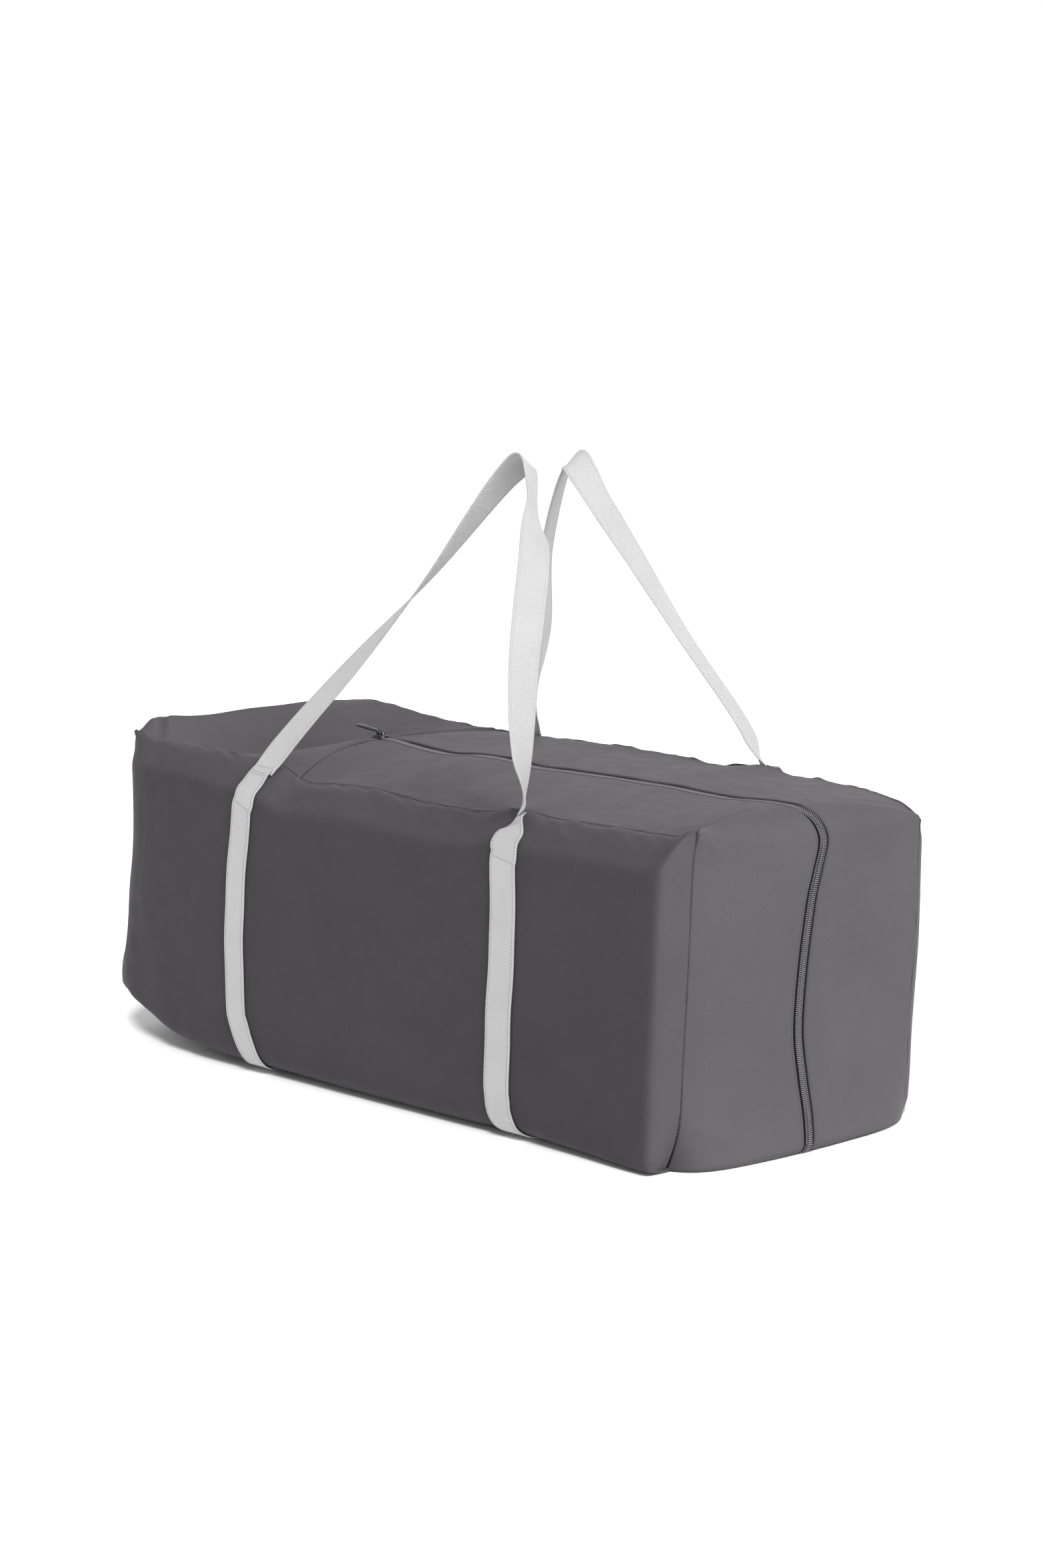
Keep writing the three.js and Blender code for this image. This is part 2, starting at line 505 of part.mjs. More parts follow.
// ---------------------------------------------------------------- mattress and mesh sides
function softGoods() {
  const ring = roundedRect(290, 226, 24);
  ring.holes.push(roundedRect(228, 206, 16, new THREE.Path()));
  add('mesh_sides', extrudeX(ring, -290, 318).translate(0, 0, CORE_Z), MESH_CLOTH);

  const flat = (y, z) => block(MAT_WIDTH, MAT_THICK, 7, ...MAT_X, y, z);
  const upright = (y) => block(MAT_THICK, MAT_WIDTH, 7, ...MAT_X, y, MAT_SIDE_Z);
  add('mattress_top', flat(0, MAT_TOP_Z), MAT_CLOTH);
  add('mattress_bottom', flat(0, MAT_LOW_Z), MAT_CLOTH);
  add('mattress_front', upright(-MAT_FRONT_Y), MAT_CLOTH);
  add('mattress_back', upright(MAT_FRONT_Y), MAT_CLOTH);

  const [top, low] = [MAT_TOP_Z + MAT_THICK / 2 + FIT, MAT_LOW_Z - MAT_THICK / 2 - FIT];
  const width = 2 * (MAT_FRONT_Y + MAT_THICK / 2 + FIT);
  for (const [name, x] of [['mattress_strap_left', -110], ['mattress_strap_right', 240]]) {
    const loop = roundedRect(width + 4, top - low + 4, 10, new THREE.Shape(), 28);
    loop.holes.push(roundedRect(width, top - low, 8, new THREE.Path(), 26));
    add(name, extrudeX(loop, x - 19, x + 19, 4).translate(0, 0, (top + low) / 2), HOOK_TAPE);
  }
}

bagCloth();
zip();
slider();
webbing();
frame();
softGoods();

export default playpen;
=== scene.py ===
import json
import math

import bmesh
import bpy
import mathutils
import numpy as np
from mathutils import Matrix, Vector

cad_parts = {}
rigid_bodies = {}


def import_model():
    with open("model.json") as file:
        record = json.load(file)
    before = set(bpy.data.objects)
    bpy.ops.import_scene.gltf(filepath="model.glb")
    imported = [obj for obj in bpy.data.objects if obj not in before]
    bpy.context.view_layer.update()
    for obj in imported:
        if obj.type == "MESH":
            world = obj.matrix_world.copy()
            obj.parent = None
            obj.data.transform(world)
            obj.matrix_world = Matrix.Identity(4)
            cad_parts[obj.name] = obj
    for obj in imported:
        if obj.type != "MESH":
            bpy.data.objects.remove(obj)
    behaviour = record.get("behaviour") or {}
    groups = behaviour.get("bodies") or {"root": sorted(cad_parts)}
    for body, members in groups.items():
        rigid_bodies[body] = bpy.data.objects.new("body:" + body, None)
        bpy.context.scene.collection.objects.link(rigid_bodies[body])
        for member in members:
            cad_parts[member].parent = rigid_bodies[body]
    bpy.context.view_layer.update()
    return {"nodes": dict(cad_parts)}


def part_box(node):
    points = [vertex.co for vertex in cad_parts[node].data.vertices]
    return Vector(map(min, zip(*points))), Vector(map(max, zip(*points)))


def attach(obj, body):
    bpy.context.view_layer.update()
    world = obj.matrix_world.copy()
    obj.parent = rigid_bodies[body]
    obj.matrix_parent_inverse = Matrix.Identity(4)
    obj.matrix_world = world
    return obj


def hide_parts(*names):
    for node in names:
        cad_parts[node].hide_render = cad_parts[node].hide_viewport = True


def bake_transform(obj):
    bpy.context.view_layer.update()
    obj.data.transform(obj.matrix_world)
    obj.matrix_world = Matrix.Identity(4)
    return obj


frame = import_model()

# A folded playpen in its carry bag. Shapes are worked out in millimetres, with x from the middle of the
# bag's own body, and moved into the frame by piece().
CENTRE_X = 2.85
SEAM_Y = 144.0            # half the width of the strip over the top and down the ends
CLOTH = 1.2
ROLL = 1.9                # radius of the rolled edge of each panel at a seam
SEAM_GAP = 0.15
OFF_FLOOR = 0.05          # nothing goes lower than this
LOWEST_CLOTH = 0.1
SHOULDER_DROP = 41.0      # height of a side panel's upper turn
HEEL_RISE = 48.0          # and of its lower turn
BULGE = 33.0              # how far a side panel stands out from its seams
LEFT_TURN = 60.0          # length of the turn from each upright seam to the flat of a side panel
FRONT_RIGHT_TURN = 14.0
BACK_RIGHT_TURN = 50.0
CHAIN_EDGE = 6.7          # the cloth stops this far from the zip's middle
TOPSTITCH_Y = 9.4         # the row of stitches beside the zip
COIL_PITCH = 1.8
COIL_MIDDLE = 1.95        # of one coil, from the zip's middle
COIL_REACH = 2.1
TAPE_DEPTH = 2.6
TAB_PIN = (-165.0, 0, 305.6)
WEB_WIDTH = 30.0
WEB_THICK = 1.5
WEB_LIFT = 0.8
WEB_STITCH_INSET = 2.6
LEFT_BAND_X = -171.0
RIGHT_BAND_X = 187.0


# ---- curves and noise
def ramp(v, lo, hi):
    t = np.clip((v - lo) / (hi - lo), 0, 1)
    return t * t * (3 - 2 * t)


def table(xs, ys):
    """A smooth curve through the points, as a function."""
    xs, ys = np.asarray(xs, float), np.asarray(ys, float)
    slope = np.gradient(ys, xs)

    def at(x):
        x = np.clip(np.asarray(x, float), xs[0], xs[-1])
        i = np.clip(np.searchsorted(xs, x) - 1, 0, len(xs) - 2)
        h = xs[i + 1] - xs[i]
        t = (x - xs[i]) / h
        near = (1 + 2 * t) * (1 - t) ** 2 * ys[i] + t * (1 - t) ** 2 * h * slope[i]
        return near + t * t * (3 - 2 * t) * ys[i + 1] - t * t * (1 - t) * h * slope[i + 1]

    return at


LATTICE = np.random.RandomState(11).rand(32, 32, 32) * 2 - 1


def noise(x, y, z=0.0):
    """Smooth noise from -1 to 1, with one swing per unit or so."""
    p = np.stack(np.broadcast_arrays(x, y, z), -1).astype(float)
    low = np.floor(p).astype(int)
    f = p - low
    f = f * f * (3 - 2 * f)
    total = 0.0
    for corner in np.ndindex(2, 2, 2):
        weight = np.prod([f[..., a] if corner[a] else 1 - f[..., a] for a in range(3)], 0)
        i, j, k = ((low[..., a] + corner[a]) % 32 for a in range(3))
        total = total + weight * LATTICE[i, j, k]
    return total


def peak(d, width):
    return np.exp(-(d / width) ** 2)


def fold(a, b, start, end, width):
    """1 on the line from start to end in the (a, b) plane, falling to 0 across it and at both ends."""
    (a0, b0), (a1, b1) = start, end
    length = math.hypot(a1 - a0, b1 - b0)
    ua, ub = (a1 - a0) / length, (b1 - b0) / length
    t = ((a - a0) * ua + (b - b0) * ub) / length
    off = (a - a0) * ub - (b - b0) * ua
    return peak(off, width) * ramp(t, -0.12, 0.25) * (1 - ramp(t, 0.75, 1.12))


# ---- form of the bag
front_edge_z = table(
    [-380, -350, -223, -190, -131, -115, -60, -24, 64, 150, 176, 192, 215, 273, 345, 368, 382, 396],
    [299, 297, 298, 296, 289, 283, 284, 286, 281, 284, 289, 289, 287, 288, 289, 290, 295, 301])
back_edge_z = table(
    [-380, -353, -328, -298, -259, -220, -172, -106, 29, 99,
     154, 175, 196, 209, 224, 258, 306, 343, 365, 388],
    [299, 304, 306, 302, 297, 295, 293, 294, 296, 295,
     293, 296, 299, 297, 294, 294, 292, 288, 283, 275])
crest_z = table(
    [-390, -360, -330, -240, -165, -138, -94, -64, -27, 11, 48, 96, 163, 214, 279, 295, 318, 335, 390],
    [313, 312, 306, 300, 300, 300, 297, 296, 299, 299, 297, 298, 299, 299, 297.5, 297.5, 299, 300, 300])
cross_x = table([-144, -100, -50, 0, 60, 144], [-116, -134, -152, -163, -162, -159])
left_wave = table([0, 30, 47, 69, 94, 154, 181, 246, 265, 298, 320],
                  [-2, -9, -17, -18, -9, -3, 0, -2, -5, -7, -9])
zip_wiggle = table([-2, 12, 29, 62, 102, 162, 199, 225, 247, 269, 282, 294, 303],
                   [-14, -8, -5, -6, -10, -8, -4, 0, 6, 11, 9, 4, -3])


def slack(x):
    return np.clip((-200 - x) / 180, 0, 1)


def crown(y):
    return 1 - (y / SEAM_Y) ** 2


def seam_y(x):
    return SEAM_Y - 14 * slack(x) ** 2


bottom_lift = table([-390, -375, -345, -320, -290, -250, -220, -190, -150, -100, -40, 20],
                    [41, 40, 34, 25, 15, 7.5, 5.5, 4.5, 3.5, 2.5, 1.2, 0.5])


def bottom_z(x):
    return bottom_lift(x) + 1.5 * (1 - ramp(abs(x - RIGHT_BAND_X), 17, 60))


def right_tuck(y, z):
    """How far the lower corners of the right end are drawn in at their seams."""
    low = np.clip(1 - z / 60, 0, 1)
    t = abs(y / SEAM_Y)
    return np.where(y < 0, 15 * low ** 2 * t ** 16, 5 * low ** 1.5 * t ** 8)


def right_x(y, z):
    low = 24 * np.clip(1 - z / 120, 0, 1) ** 2 * (1 - (y / SEAM_Y) ** 4)
    tip = 7 * peak(y + 150, 22) * peak(z - 304, 22)
    back = 4 * np.clip(1 - z / 240, 0, 1) * ramp(y, 40, 144)
    return 379 + 0.06 * (z - 150) + 6 * crown(y) + low + back + tip + 1.6 * noise(y / 70, z / 90, 3)


def left_x(y, z):
    front = ((1 - y / SEAM_Y) / 2) ** 3
    return -377 + 0.06 * (z - 150) - 6 * crown(y) + left_wave(z) * front + 3 * noise(y / 55, z / 45, 8)


def top_z(x, y):
    t = y / SEAM_Y
    z = crest_z(x) * (1 - t * t) + back_edge_z(x) * t * (t + 1) / 2 + front_edge_z(x) * t * (t - 1) / 2
    across = np.clip((t + 1) / 2, 0, 1)
    along = ramp(-x, 166, 240) * (1 - ramp(-x, 325, 372))
    z = z - 30 * np.sin(math.pi * across ** 0.7) * along
    return z + 11 * peak(x + 372, 18) * peak(y + 122, np.where(y > -122, 40, 13))


def strip(end, start_x, s, y):
    """The cloth over one end (1 right, -1 left). s 0..1 runs along the top from start_x, 1..2 round the
    upper corner, 2..3 down the end and 3..4 round the lower corner."""
    s, y = np.broadcast_arrays(np.asarray(s, float), np.asarray(y, float))
    face = (lambda y, z: right_x(y, z) - right_tuck(y, z)) if end > 0 else left_x
    upper = 4 + 25 * crown(y) if end > 0 else 9 + 7 * crown(y)
    lower = 3 + 4 * crown(y) if end > 0 else 13 + 6 * crown(y)
    x1 = face(y, 300 - upper) - end * upper
    top = top_z(x1, y)
    knee = top - upper
    x2 = face(y, 4.0) - end * lower
    base = bottom_z(x2)
    heel = base + lower
    run_x = start_x + (x1 - start_x) * np.clip(s, 0, 1)
    turn, tuck = np.clip(s - 1, 0, 1) * math.pi / 2, np.clip(s - 3, 0, 1) * math.pi / 2
    face_z = knee + (heel - knee) * np.clip(s - 2, 0, 1)
    x = np.where(s <= 1, run_x, np.where(s <= 2, x1 + (face(y, knee) - x1) * np.sin(turn),
                 np.where(s <= 3, face(y, face_z), x2 + (face(y, heel) - x2) * np.cos(tuck))))
    z = np.where(s <= 1, top_z(run_x, y), np.where(s <= 2, top - upper * (1 - np.cos(turn)),
                 np.where(s <= 3, face_z, heel - lower * np.sin(tuck))))
    if end > 0:
        y = y + zip_wiggle(z) * crown(y) * ramp(x, 345, 380)
    return np.stack([x, y * seam_y(x) / SEAM_Y, z], -1)


# A side panel in section: k 0..1 is the upper shoulder, 1..2 the flat side and 2..3 the lower shoulder.
SHOULDER_K = [0, 0.15, 0.34, 0.52, 0.62, 0.7, 0.77, 0.86, 1]
HEEL_K = [2, 2.27, 2.5, 2.68, 2.84, 3]
shoulder_out = table(SHOULDER_K, [0, 0.24, 0.51, 0.765, 0.895, 0.965, 0.994, 1, 1])
shoulder_drop = table(SHOULDER_K, [0, 2.2, 8.8, 17.5, 22.2, 25.6, 29, 34, SHOULDER_DROP])
heel_out = table(HEEL_K, [1, 0.955, 0.83, 0.6, 0.32, 0])
heel_rise = table(HEEL_K, [HEEL_RISE, 29, 15.5, 8, 3.6, 1.2])
heel_height = table([-380, -300, -200, 150, 230, 290, 330, 380], [0.2, 0.7, 1.05, 1, 0.85, 0.55, 0.35, 0.3])
# and in plan, from each upright seam to the flat: distance along x, and share of the full bulge.
LEFT_U = [0, 0.109, 0.253, 0.43, 0.648, 1]
RIGHT_U = [0, 0.237, 0.482, 0.705, 0.863, 1]
BACK_U = [0, 0.2, 0.4, 0.6, 0.8, 1]
left_in = table(LEFT_U, [0, 5, 12, 22, 36, LEFT_TURN])
left_out = table(LEFT_U, [0, 0.2, 0.45, 0.7, 0.89, 1])
right_in = table(RIGHT_U, [0, 1.2, 2.6, 4.8, 8.2, FRONT_RIGHT_TURN])
right_out = table(RIGHT_U, [0, 0.27, 0.55, 0.81, 0.95, 1])
back_right_in = table(BACK_U, [0, 4.5, 11, 20, 32, BACK_RIGHT_TURN])
back_right_out = table(BACK_U, [0, 0.22, 0.46, 0.72, 0.91, 1])


def side_section(x, edge_z, k, share):
    """The distance out from the middle and the height, where the panel's upper seam is at edge_z."""
    upper, flat_k, lower = np.clip(k, 0, 1), np.clip(k - 1, 0, 1), np.clip(k, 2, 3)
    top, base = edge_z - shoulder_drop(upper), bottom_z(x) + heel_rise(lower) * heel_height(x)
    heel = bottom_z(x) + HEEL_RISE * heel_height(x)
    flat = edge_z - SHOULDER_DROP + (heel - edge_z + SHOULDER_DROP) * flat_k
    z = np.where(k <= 1, top, np.where(k < 2, flat, base))
    profile = np.where(k <= 1, shoulder_out(upper), np.where(k < 2, 1.0, heel_out(lower)))
    sag = 1.2 * np.sin(math.pi * flat_k)
    return seam_y(x) + (BULGE - 9 * slack(x) ** 2 + sag) * share * profile, z


def side_point(side, u, k):
    """u 0..1 is the turn at the left seam, 1..2 the flat run and 2..3 the turn at the right seam."""
    edge_z = front_edge_z if side < 0 else back_edge_z
    y = side * SEAM_Y
    turn_in, turn_out, reach = ((right_in, right_out, FRONT_RIGHT_TURN) if side < 0 else
                                (back_right_in, back_right_out, BACK_RIGHT_TURN))
    a, b = left_in(np.clip(u, 0, 1)), turn_in(np.clip(3 - u, 0, 1))
    share = left_out(np.clip(u, 0, 1)) * turn_out(np.clip(3 - u, 0, 1))
    rough_x = -379 + 758 * u / 3
    rough_z = side_section(rough_x, edge_z(rough_x), k, share)[1]
    left, right = left_x(y, rough_z) + SEAM_GAP, right_x(y, rough_z) - SEAM_GAP
    b = b + right_tuck(y, rough_z) * (1 - ramp(b, 0, 0.8 * reach))
    flat = left + LEFT_TURN + (right - left - LEFT_TURN - reach) * (u - 1)
    x = np.where(u <= 1, left + a, np.where(u >= 2, right - b, flat))
    across, z = side_section(x, edge_z(x), k, share)
    return np.stack(np.broadcast_arrays(x, side * across, z), -1)


def side_at(side, x, k):
    edge_z = front_edge_z if side < 0 else back_edge_z
    across, z = side_section(x, edge_z(x), k, 1.0)
    return np.stack(np.broadcast_arrays(x, side * across, z), -1)


def soft(p):
    """Slow unevenness that all the bag cloth has, in mm along its normal."""
    x, y, z = p[..., 0], p[..., 1], p[..., 2]
    loose = 1 + 1.6 * ramp(-x, 190, 260)
    return loose * (0.7 * noise(x / 130, y / 90, z / 110) + 0.16 * noise(x / 46, y / 40, z / 52 + 7)) \
        + 0.03 * noise(x / 13, y / 13, z / 13)


def side_relief(side, p, k):
    x, z = p[..., 0], p[..., 2]
    drop = np.interp(k, [0, 1, 2, 3], [0, 56, 260, 327])
    d = soft(p)
    near = np.exp(-(drop / 17) ** 1.6) * ramp(drop, 0, 3)
    a, b = x * 0.94 + side * drop * -0.34, drop * 0.94 + x * 0.34 * side
    d = d + near * 1.7 * noise(a / 24, b / 5.5, 4)
    d = d + near * 0.55 * noise(x / 7, drop / 9, 14)
    d = d + peak(327 - drop, 16) * 0.5 * noise(x / 15, drop / 12, 21)
    d = d + 0.5 * np.sin(x / 9.5 + z / 60) * ramp(-x, 205, 260) * ramp(drop, 60, 180)
    for at, depth in ((40, 0.5), (78, 0.35), (118, 0.6), (160, 0.4), (238, 0.5), (262, 0.35), (-88, 0.3)):
        d = d - depth * fold(x, drop, (at, 34), (at - 5, 60), 2.4)
    d = d + 2.2 * fold(x, drop, (150, 10), (176, 2), 8)
    d = d - 0.8 * fold(x, drop, (136, 22), (172, 14), 4)
    return d


# ---- grids to closed meshes
def normals(grid, out=None):
    n = np.cross(np.gradient(grid, axis=0), np.gradient(grid, axis=1))
    n = n / np.maximum(np.linalg.norm(n, axis=-1, keepdims=True), 1e-9)
    if out is None:
        out = grid - np.array([0, 0, 150.0])
    return n if (n * out).sum() > 0 else -n


def spans(grid, axis):
    step = np.linalg.norm(np.diff(grid, axis=axis), axis=-1)
    start = np.zeros_like(np.take(step, [0], axis))
    return np.concatenate([start, np.cumsum(step, axis)], axis)


def roll_edges(grid, n, edges=(1, 1, 1, 1)):
    """Turns the cloth inwards along its edges: first row, last row, first column, last column."""
    down = 0.0
    for axis in (0, 1):
        d = spans(grid, axis)
        for wanted, away in zip(edges[2 * axis:2 * axis + 2], (d, np.take(d, [-1], axis) - d)):
            if wanted:
                t = np.clip(1 - away / (ROLL * wanted), 0, 1)
                down = np.maximum(down, ROLL * wanted * (1 - np.sqrt(1 - t * t * 0.98)))
    return grid - n * np.expand_dims(down, -1)


def quads(rows, cols, base=0, around=False):
    i = np.arange(rows - 1)[:, None] * cols
    j = np.arange(cols if around else cols - 1)[None, :]
    k = (j + 1) % cols
    return (np.stack([i + j, i + cols + j, i + cols + k, i + k], -1).reshape(-1, 4) + base).tolist()


def shell(grid, thick=CLOTH, n=None):
    """Cloth with its outer face on the grid."""
    n = normals(grid) if n is None else n
    rows, cols = grid.shape[:2]
    count = rows * cols
    ring = [i * cols for i in range(rows)] + [(rows - 1) * cols + j for j in range(1, cols)]
    ring += [i * cols + cols - 1 for i in range(rows - 2, -1, -1)] + list(range(cols - 2, 0, -1))
    rim = [[a, b, b + count, a + count] for a, b in zip(ring, ring[1:] + ring[:1])]
    points = np.concatenate([grid.reshape(-1, 3), (grid - n * thick).reshape(-1, 3)])
    uv = np.stack([spans(grid, 0), spans(grid, 1)], -1).reshape(-1, 2)
    return points, quads(rows, cols) + quads(rows, cols, count) + rim, np.concatenate([uv, uv])


def sweep(section, at, side, up, cap=True):
    """A closed section of (side, up) points along a line of frames."""
    section = np.asarray(section, float)
    grid = at[:, None] + section[None, :, :1] * side[:, None] + section[None, :, 1:] * up[:, None]
    rows, cols = grid.shape[:2]
    faces = quads(rows, cols, around=True)
    if cap:
        last = (rows - 1) * cols
        faces += [list(range(cols)), list(range(last + cols - 1, last - 1, -1))]
    along = spans(at[:, None], 0)
    girth = np.concatenate([[0], np.cumsum(np.linalg.norm(np.diff(section, axis=0), axis=1))])
    uv = np.stack(np.broadcast_arrays(along, girth[None]), -1).reshape(-1, 2)
    return grid.reshape(-1, 3), faces, uv


def from_above(points, faces):
    """A mesh with its UV map laid flat from above."""
    return points, faces, points[:, :2].copy()


def circle(radius, count):
    return [(radius * math.cos(a), radius * math.sin(a)) for a in np.arange(count) * 2 * math.pi / count]


def runs(*counts, first=0):
    """Even steps over each unit from first on, with that many points in each."""
    return np.concatenate([[first]] + [np.linspace(i, i + 1, n)[1:] for i, n in enumerate(counts, first)])


def lathe(profile, centre, axis, count=36):
    """A closed profile of (along, radius) points turned round an axis (0 x, 1 y)."""
    profile = np.asarray(profile, float)
    turn = np.linspace(0, 2 * math.pi, count, endpoint=False)
    grid = np.zeros((len(profile) + 1, count, 3))
    loop = np.concatenate([profile, profile[:1]])
    grid[..., axis] = loop[:, None, 0]
    grid[..., 1 - axis] = loop[:, None, 1] * np.cos(turn)
    grid[..., 2] = loop[:, None, 1] * np.sin(turn)
    count_all = len(profile) * count
    faces = [[i % count_all for i in face] for face in quads(len(loop), count, around=True)]
    return from_above((grid[:-1] + np.asarray(centre, float)).reshape(-1, 3), faces)


def plate(outline, low, high, bevel):
    """A flat plate with bevelled rims over a closed (x, y) outline."""
    outline = np.asarray(outline, float)
    middle = outline.mean(0)
    reach = np.linalg.norm(outline - middle, axis=1, keepdims=True)
    inner = middle + (outline - middle) * (1 - bevel / reach)
    rings = [(inner, low), (outline, low + bevel), (outline, high - bevel), (inner, high)]
    points = np.concatenate([np.column_stack([ring, np.full(len(ring), z)]) for ring, z in rings])
    n = len(outline)
    caps = [list(range(n)), list(range(4 * n - 1, 3 * n - 1, -1))]
    return from_above(points, quads(4, n, around=True) + caps)


def join(parts):
    points, faces, uvs, base = [], [], [], 0
    for p, f, uv in parts:
        points.append(p)
        uvs.append(uv)
        faces += [[i + base for i in face] for face in f]
        base += len(p)
    return np.concatenate(points), faces, np.concatenate(uvs)


def capsules(at, along, up, length, radius):
    """Small rounded stitches, centred on the points."""
    side = np.cross(along, up)
    turn = np.arange(6) * math.pi / 3
    rings = ((-0.5, 0.35), (-0.36, 0.9), (0, 1.1), (0.36, 0.9), (0.5, 0.35))
    grid = np.stack([np.stack([at + along * (length * t) + radius * r * (math.cos(a) * side + math.sin(a) * up)
                               for a in turn], 1) for t, r in rings], 1)
    count, each = len(at), 6 * len(rings)
    one = np.array(quads(len(rings), 6, around=True))
    faces = (one[None] + np.arange(count)[:, None, None] * each).reshape(-1, 4).tolist()
    for k in range(count):
        first = k * each
        faces.append(list(range(first, first + 6)))
        faces.append(list(range(first + each - 1, first + each - 7, -1)))
    return from_above(grid.reshape(-1, 3), faces)


def unit(v):
    return v / np.maximum(np.linalg.norm(v, axis=-1, keepdims=True), 1e-9)


def heading(line):
    return unit(np.gradient(line, axis=0))


def squared(side, along):
    """side made square to along."""
    return unit(side - along * (side * along).sum(1, keepdims=True))


def even(line, step, *others):
    """The line resampled to even steps, and anything else known at its points."""
    d = spans(line[:, None], 0)[:, 0]
    t = np.linspace(0, d[-1], max(2, int(round(d[-1] / step)) + 1))
    return [np.stack([np.interp(t, d, a[:, i]) for i in range(a.shape[1])], 1) for a in (line, *others)] + [t]


def stitch_row(line, up, pitch, length, radius, lift=0.0, ends=3.0):
    """Stitches along a line; up is the cloth's normal at its points."""
    at, up, d = even(line, pitch, up)
    along = heading(at)
    up = squared(up, along)
    keep = (d > ends) & (d < d[-1] - ends)
    return capsules((at + up * lift)[keep], along[keep], up[keep], length, radius)


def spaced(line, lo, hi, step):
    """Parameters from lo to hi about one step apart on the line, and closer together at its edges."""
    t = np.linspace(lo, hi, 3000)
    d = spans(line(t)[:, None], 0)[:, 0]
    fine = np.array([0, 0.25, 0.6, 1.1, 1.8, 2.6, 3.8, 5.4])
    inner = np.linspace(fine[-1], d[-1] - fine[-1], int((d[-1] - fine[-1] - fine[-1]) / step) + 1)
    return np.interp(np.concatenate([fine[:-1], inner, d[-1] - fine[::-1][1:]]), d, t)


def spaced_across(lo, hi, step):
    return spaced(lambda t: np.stack([0 * t, t, 0 * t], 1), lo, hi, step)


# ---- materials
class Nodes:
    """A material's node tree, with short calls for the few node types used here."""

    def __init__(self, name, colour, rough, **settings):
        self.material = bpy.data.materials.new(name)
        self.material.use_nodes = True
        self.tree = self.material.node_tree
        self.shader = self.tree.nodes["Principled BSDF"]
        self.shader.inputs["Roughness"].default_value = rough
        self.shader.inputs["Base Color"].default_value = (*colour, 1)
        self.colour = colour
        for key, value in settings.items():
            self.shader.inputs[key.replace("_", " ")].default_value = value
        self.bumped = None

    def node(self, kind, inputs=None, **settings):
        n = self.tree.nodes.new("ShaderNode" + kind)
        for key, value in settings.items():
            setattr(n, key, value)
        for key, value in (inputs or {}).items():
            if isinstance(value, bpy.types.NodeSocket):
                self.tree.links.new(value, n.inputs[key])
            else:
                n.inputs[key].default_value = value
        return n

    def math(self, operation, a, b=0.0):
        return self.node("Math", {0: a, 1: b}, operation=operation).outputs[0]

    def coords(self, kind):
        return self.node("TexCoord").outputs[kind]

    def noise(self, scale, detail=3.0):
        inputs = {"Vector": self.coords("Object"), "Scale": scale, "Detail": detail}
        return self.node("TexNoise", inputs).outputs[0]

    def uv(self):
        parts = self.node("SeparateXYZ", {0: self.coords("UV")})
        return parts.outputs[0], parts.outputs[1]

    def spread(self, value, lo, hi):
        inputs = {"Value": value, "From Min": 0.25, "From Max": 0.75, "To Min": lo, "To Max": hi}
        return self.node("MapRange", inputs).outputs[0]

    def between(self, value, lo, hi):
        return self.node("MapRange", {"Value": value, "To Min": lo, "To Max": hi}).outputs[0]

    def tint(self, *shades):
        """Base colour times the product of the shades."""
        factor = shades[0]
        for other in shades[1:]:
            factor = self.math("MULTIPLY", factor, other)
        scaled = self.node("VectorMath", {0: (*self.colour,), "Scale": factor}, operation="SCALE")
        self.tree.links.new(scaled.outputs[0], self.shader.inputs["Base Color"])

    def rough(self, value):
        self.tree.links.new(value, self.shader.inputs["Roughness"])

    def bump(self, height, distance, strength=1.0):
        inputs = {"Height": height, "Distance": distance, "Strength": strength}
        if self.bumped:
            inputs["Normal"] = self.bumped
        self.bumped = self.node("Bump", inputs).outputs[0]
        self.tree.links.new(self.bumped, self.shader.inputs["Normal"])

    def thread(self, u, period):
        """0 between threads, 1 on top of them."""
        return self.math("ABSOLUTE", self.math("SINE", self.math("MULTIPLY", u, math.pi / period)))

    def over(self, u, v, period):
        """1 where the first set of threads lies on top of the second, in a plain weave."""
        vector = self.node("CombineXYZ", {0: u, 1: v}).outputs[0]
        return self.node("TexChecker", {"Vector": vector, "Scale": 1 / period}).outputs[1]

    def weave(self, u, v, period):
        return self.between(self.over(u, v, period), self.thread(u, period), self.thread(v, period))


def fabric(name, colour, period, rough=0.52, sheen=0.03, slub=0.12, patches=0.06, wrinkle=0.0004, by_uv=True):
    m = Nodes(name, colour, rough, Sheen_Weight=sheen, Sheen_Roughness=0.45, Specular_IOR_Level=0.06)
    if by_uv:
        u, v = m.uv()
    else:
        parts = m.node("SeparateXYZ", {0: m.coords("Object")})
        u = m.math("ADD", parts.outputs[0], m.math("MULTIPLY", parts.outputs[2], 0.71))
        v = m.math("ADD", parts.outputs[1], m.math("MULTIPLY", parts.outputs[2], 0.69))
    weave = m.weave(u, v, period)
    m.tint(m.spread(m.noise(14, 4), 1 - patches, 1 + patches), m.spread(m.noise(950, 2), 1 - slub, 1 + slub),
           m.between(weave, 0.8, 1.12))
    m.rough(m.spread(m.noise(60, 3), rough - 0.06, rough + 0.08))
    m.bump(m.noise(75, 4), wrinkle, 0.5)
    m.bump(m.noise(420, 3), wrinkle * 0.25, 0.6)
    m.bump(weave, period * 0.22, 0.7)
    return m.material


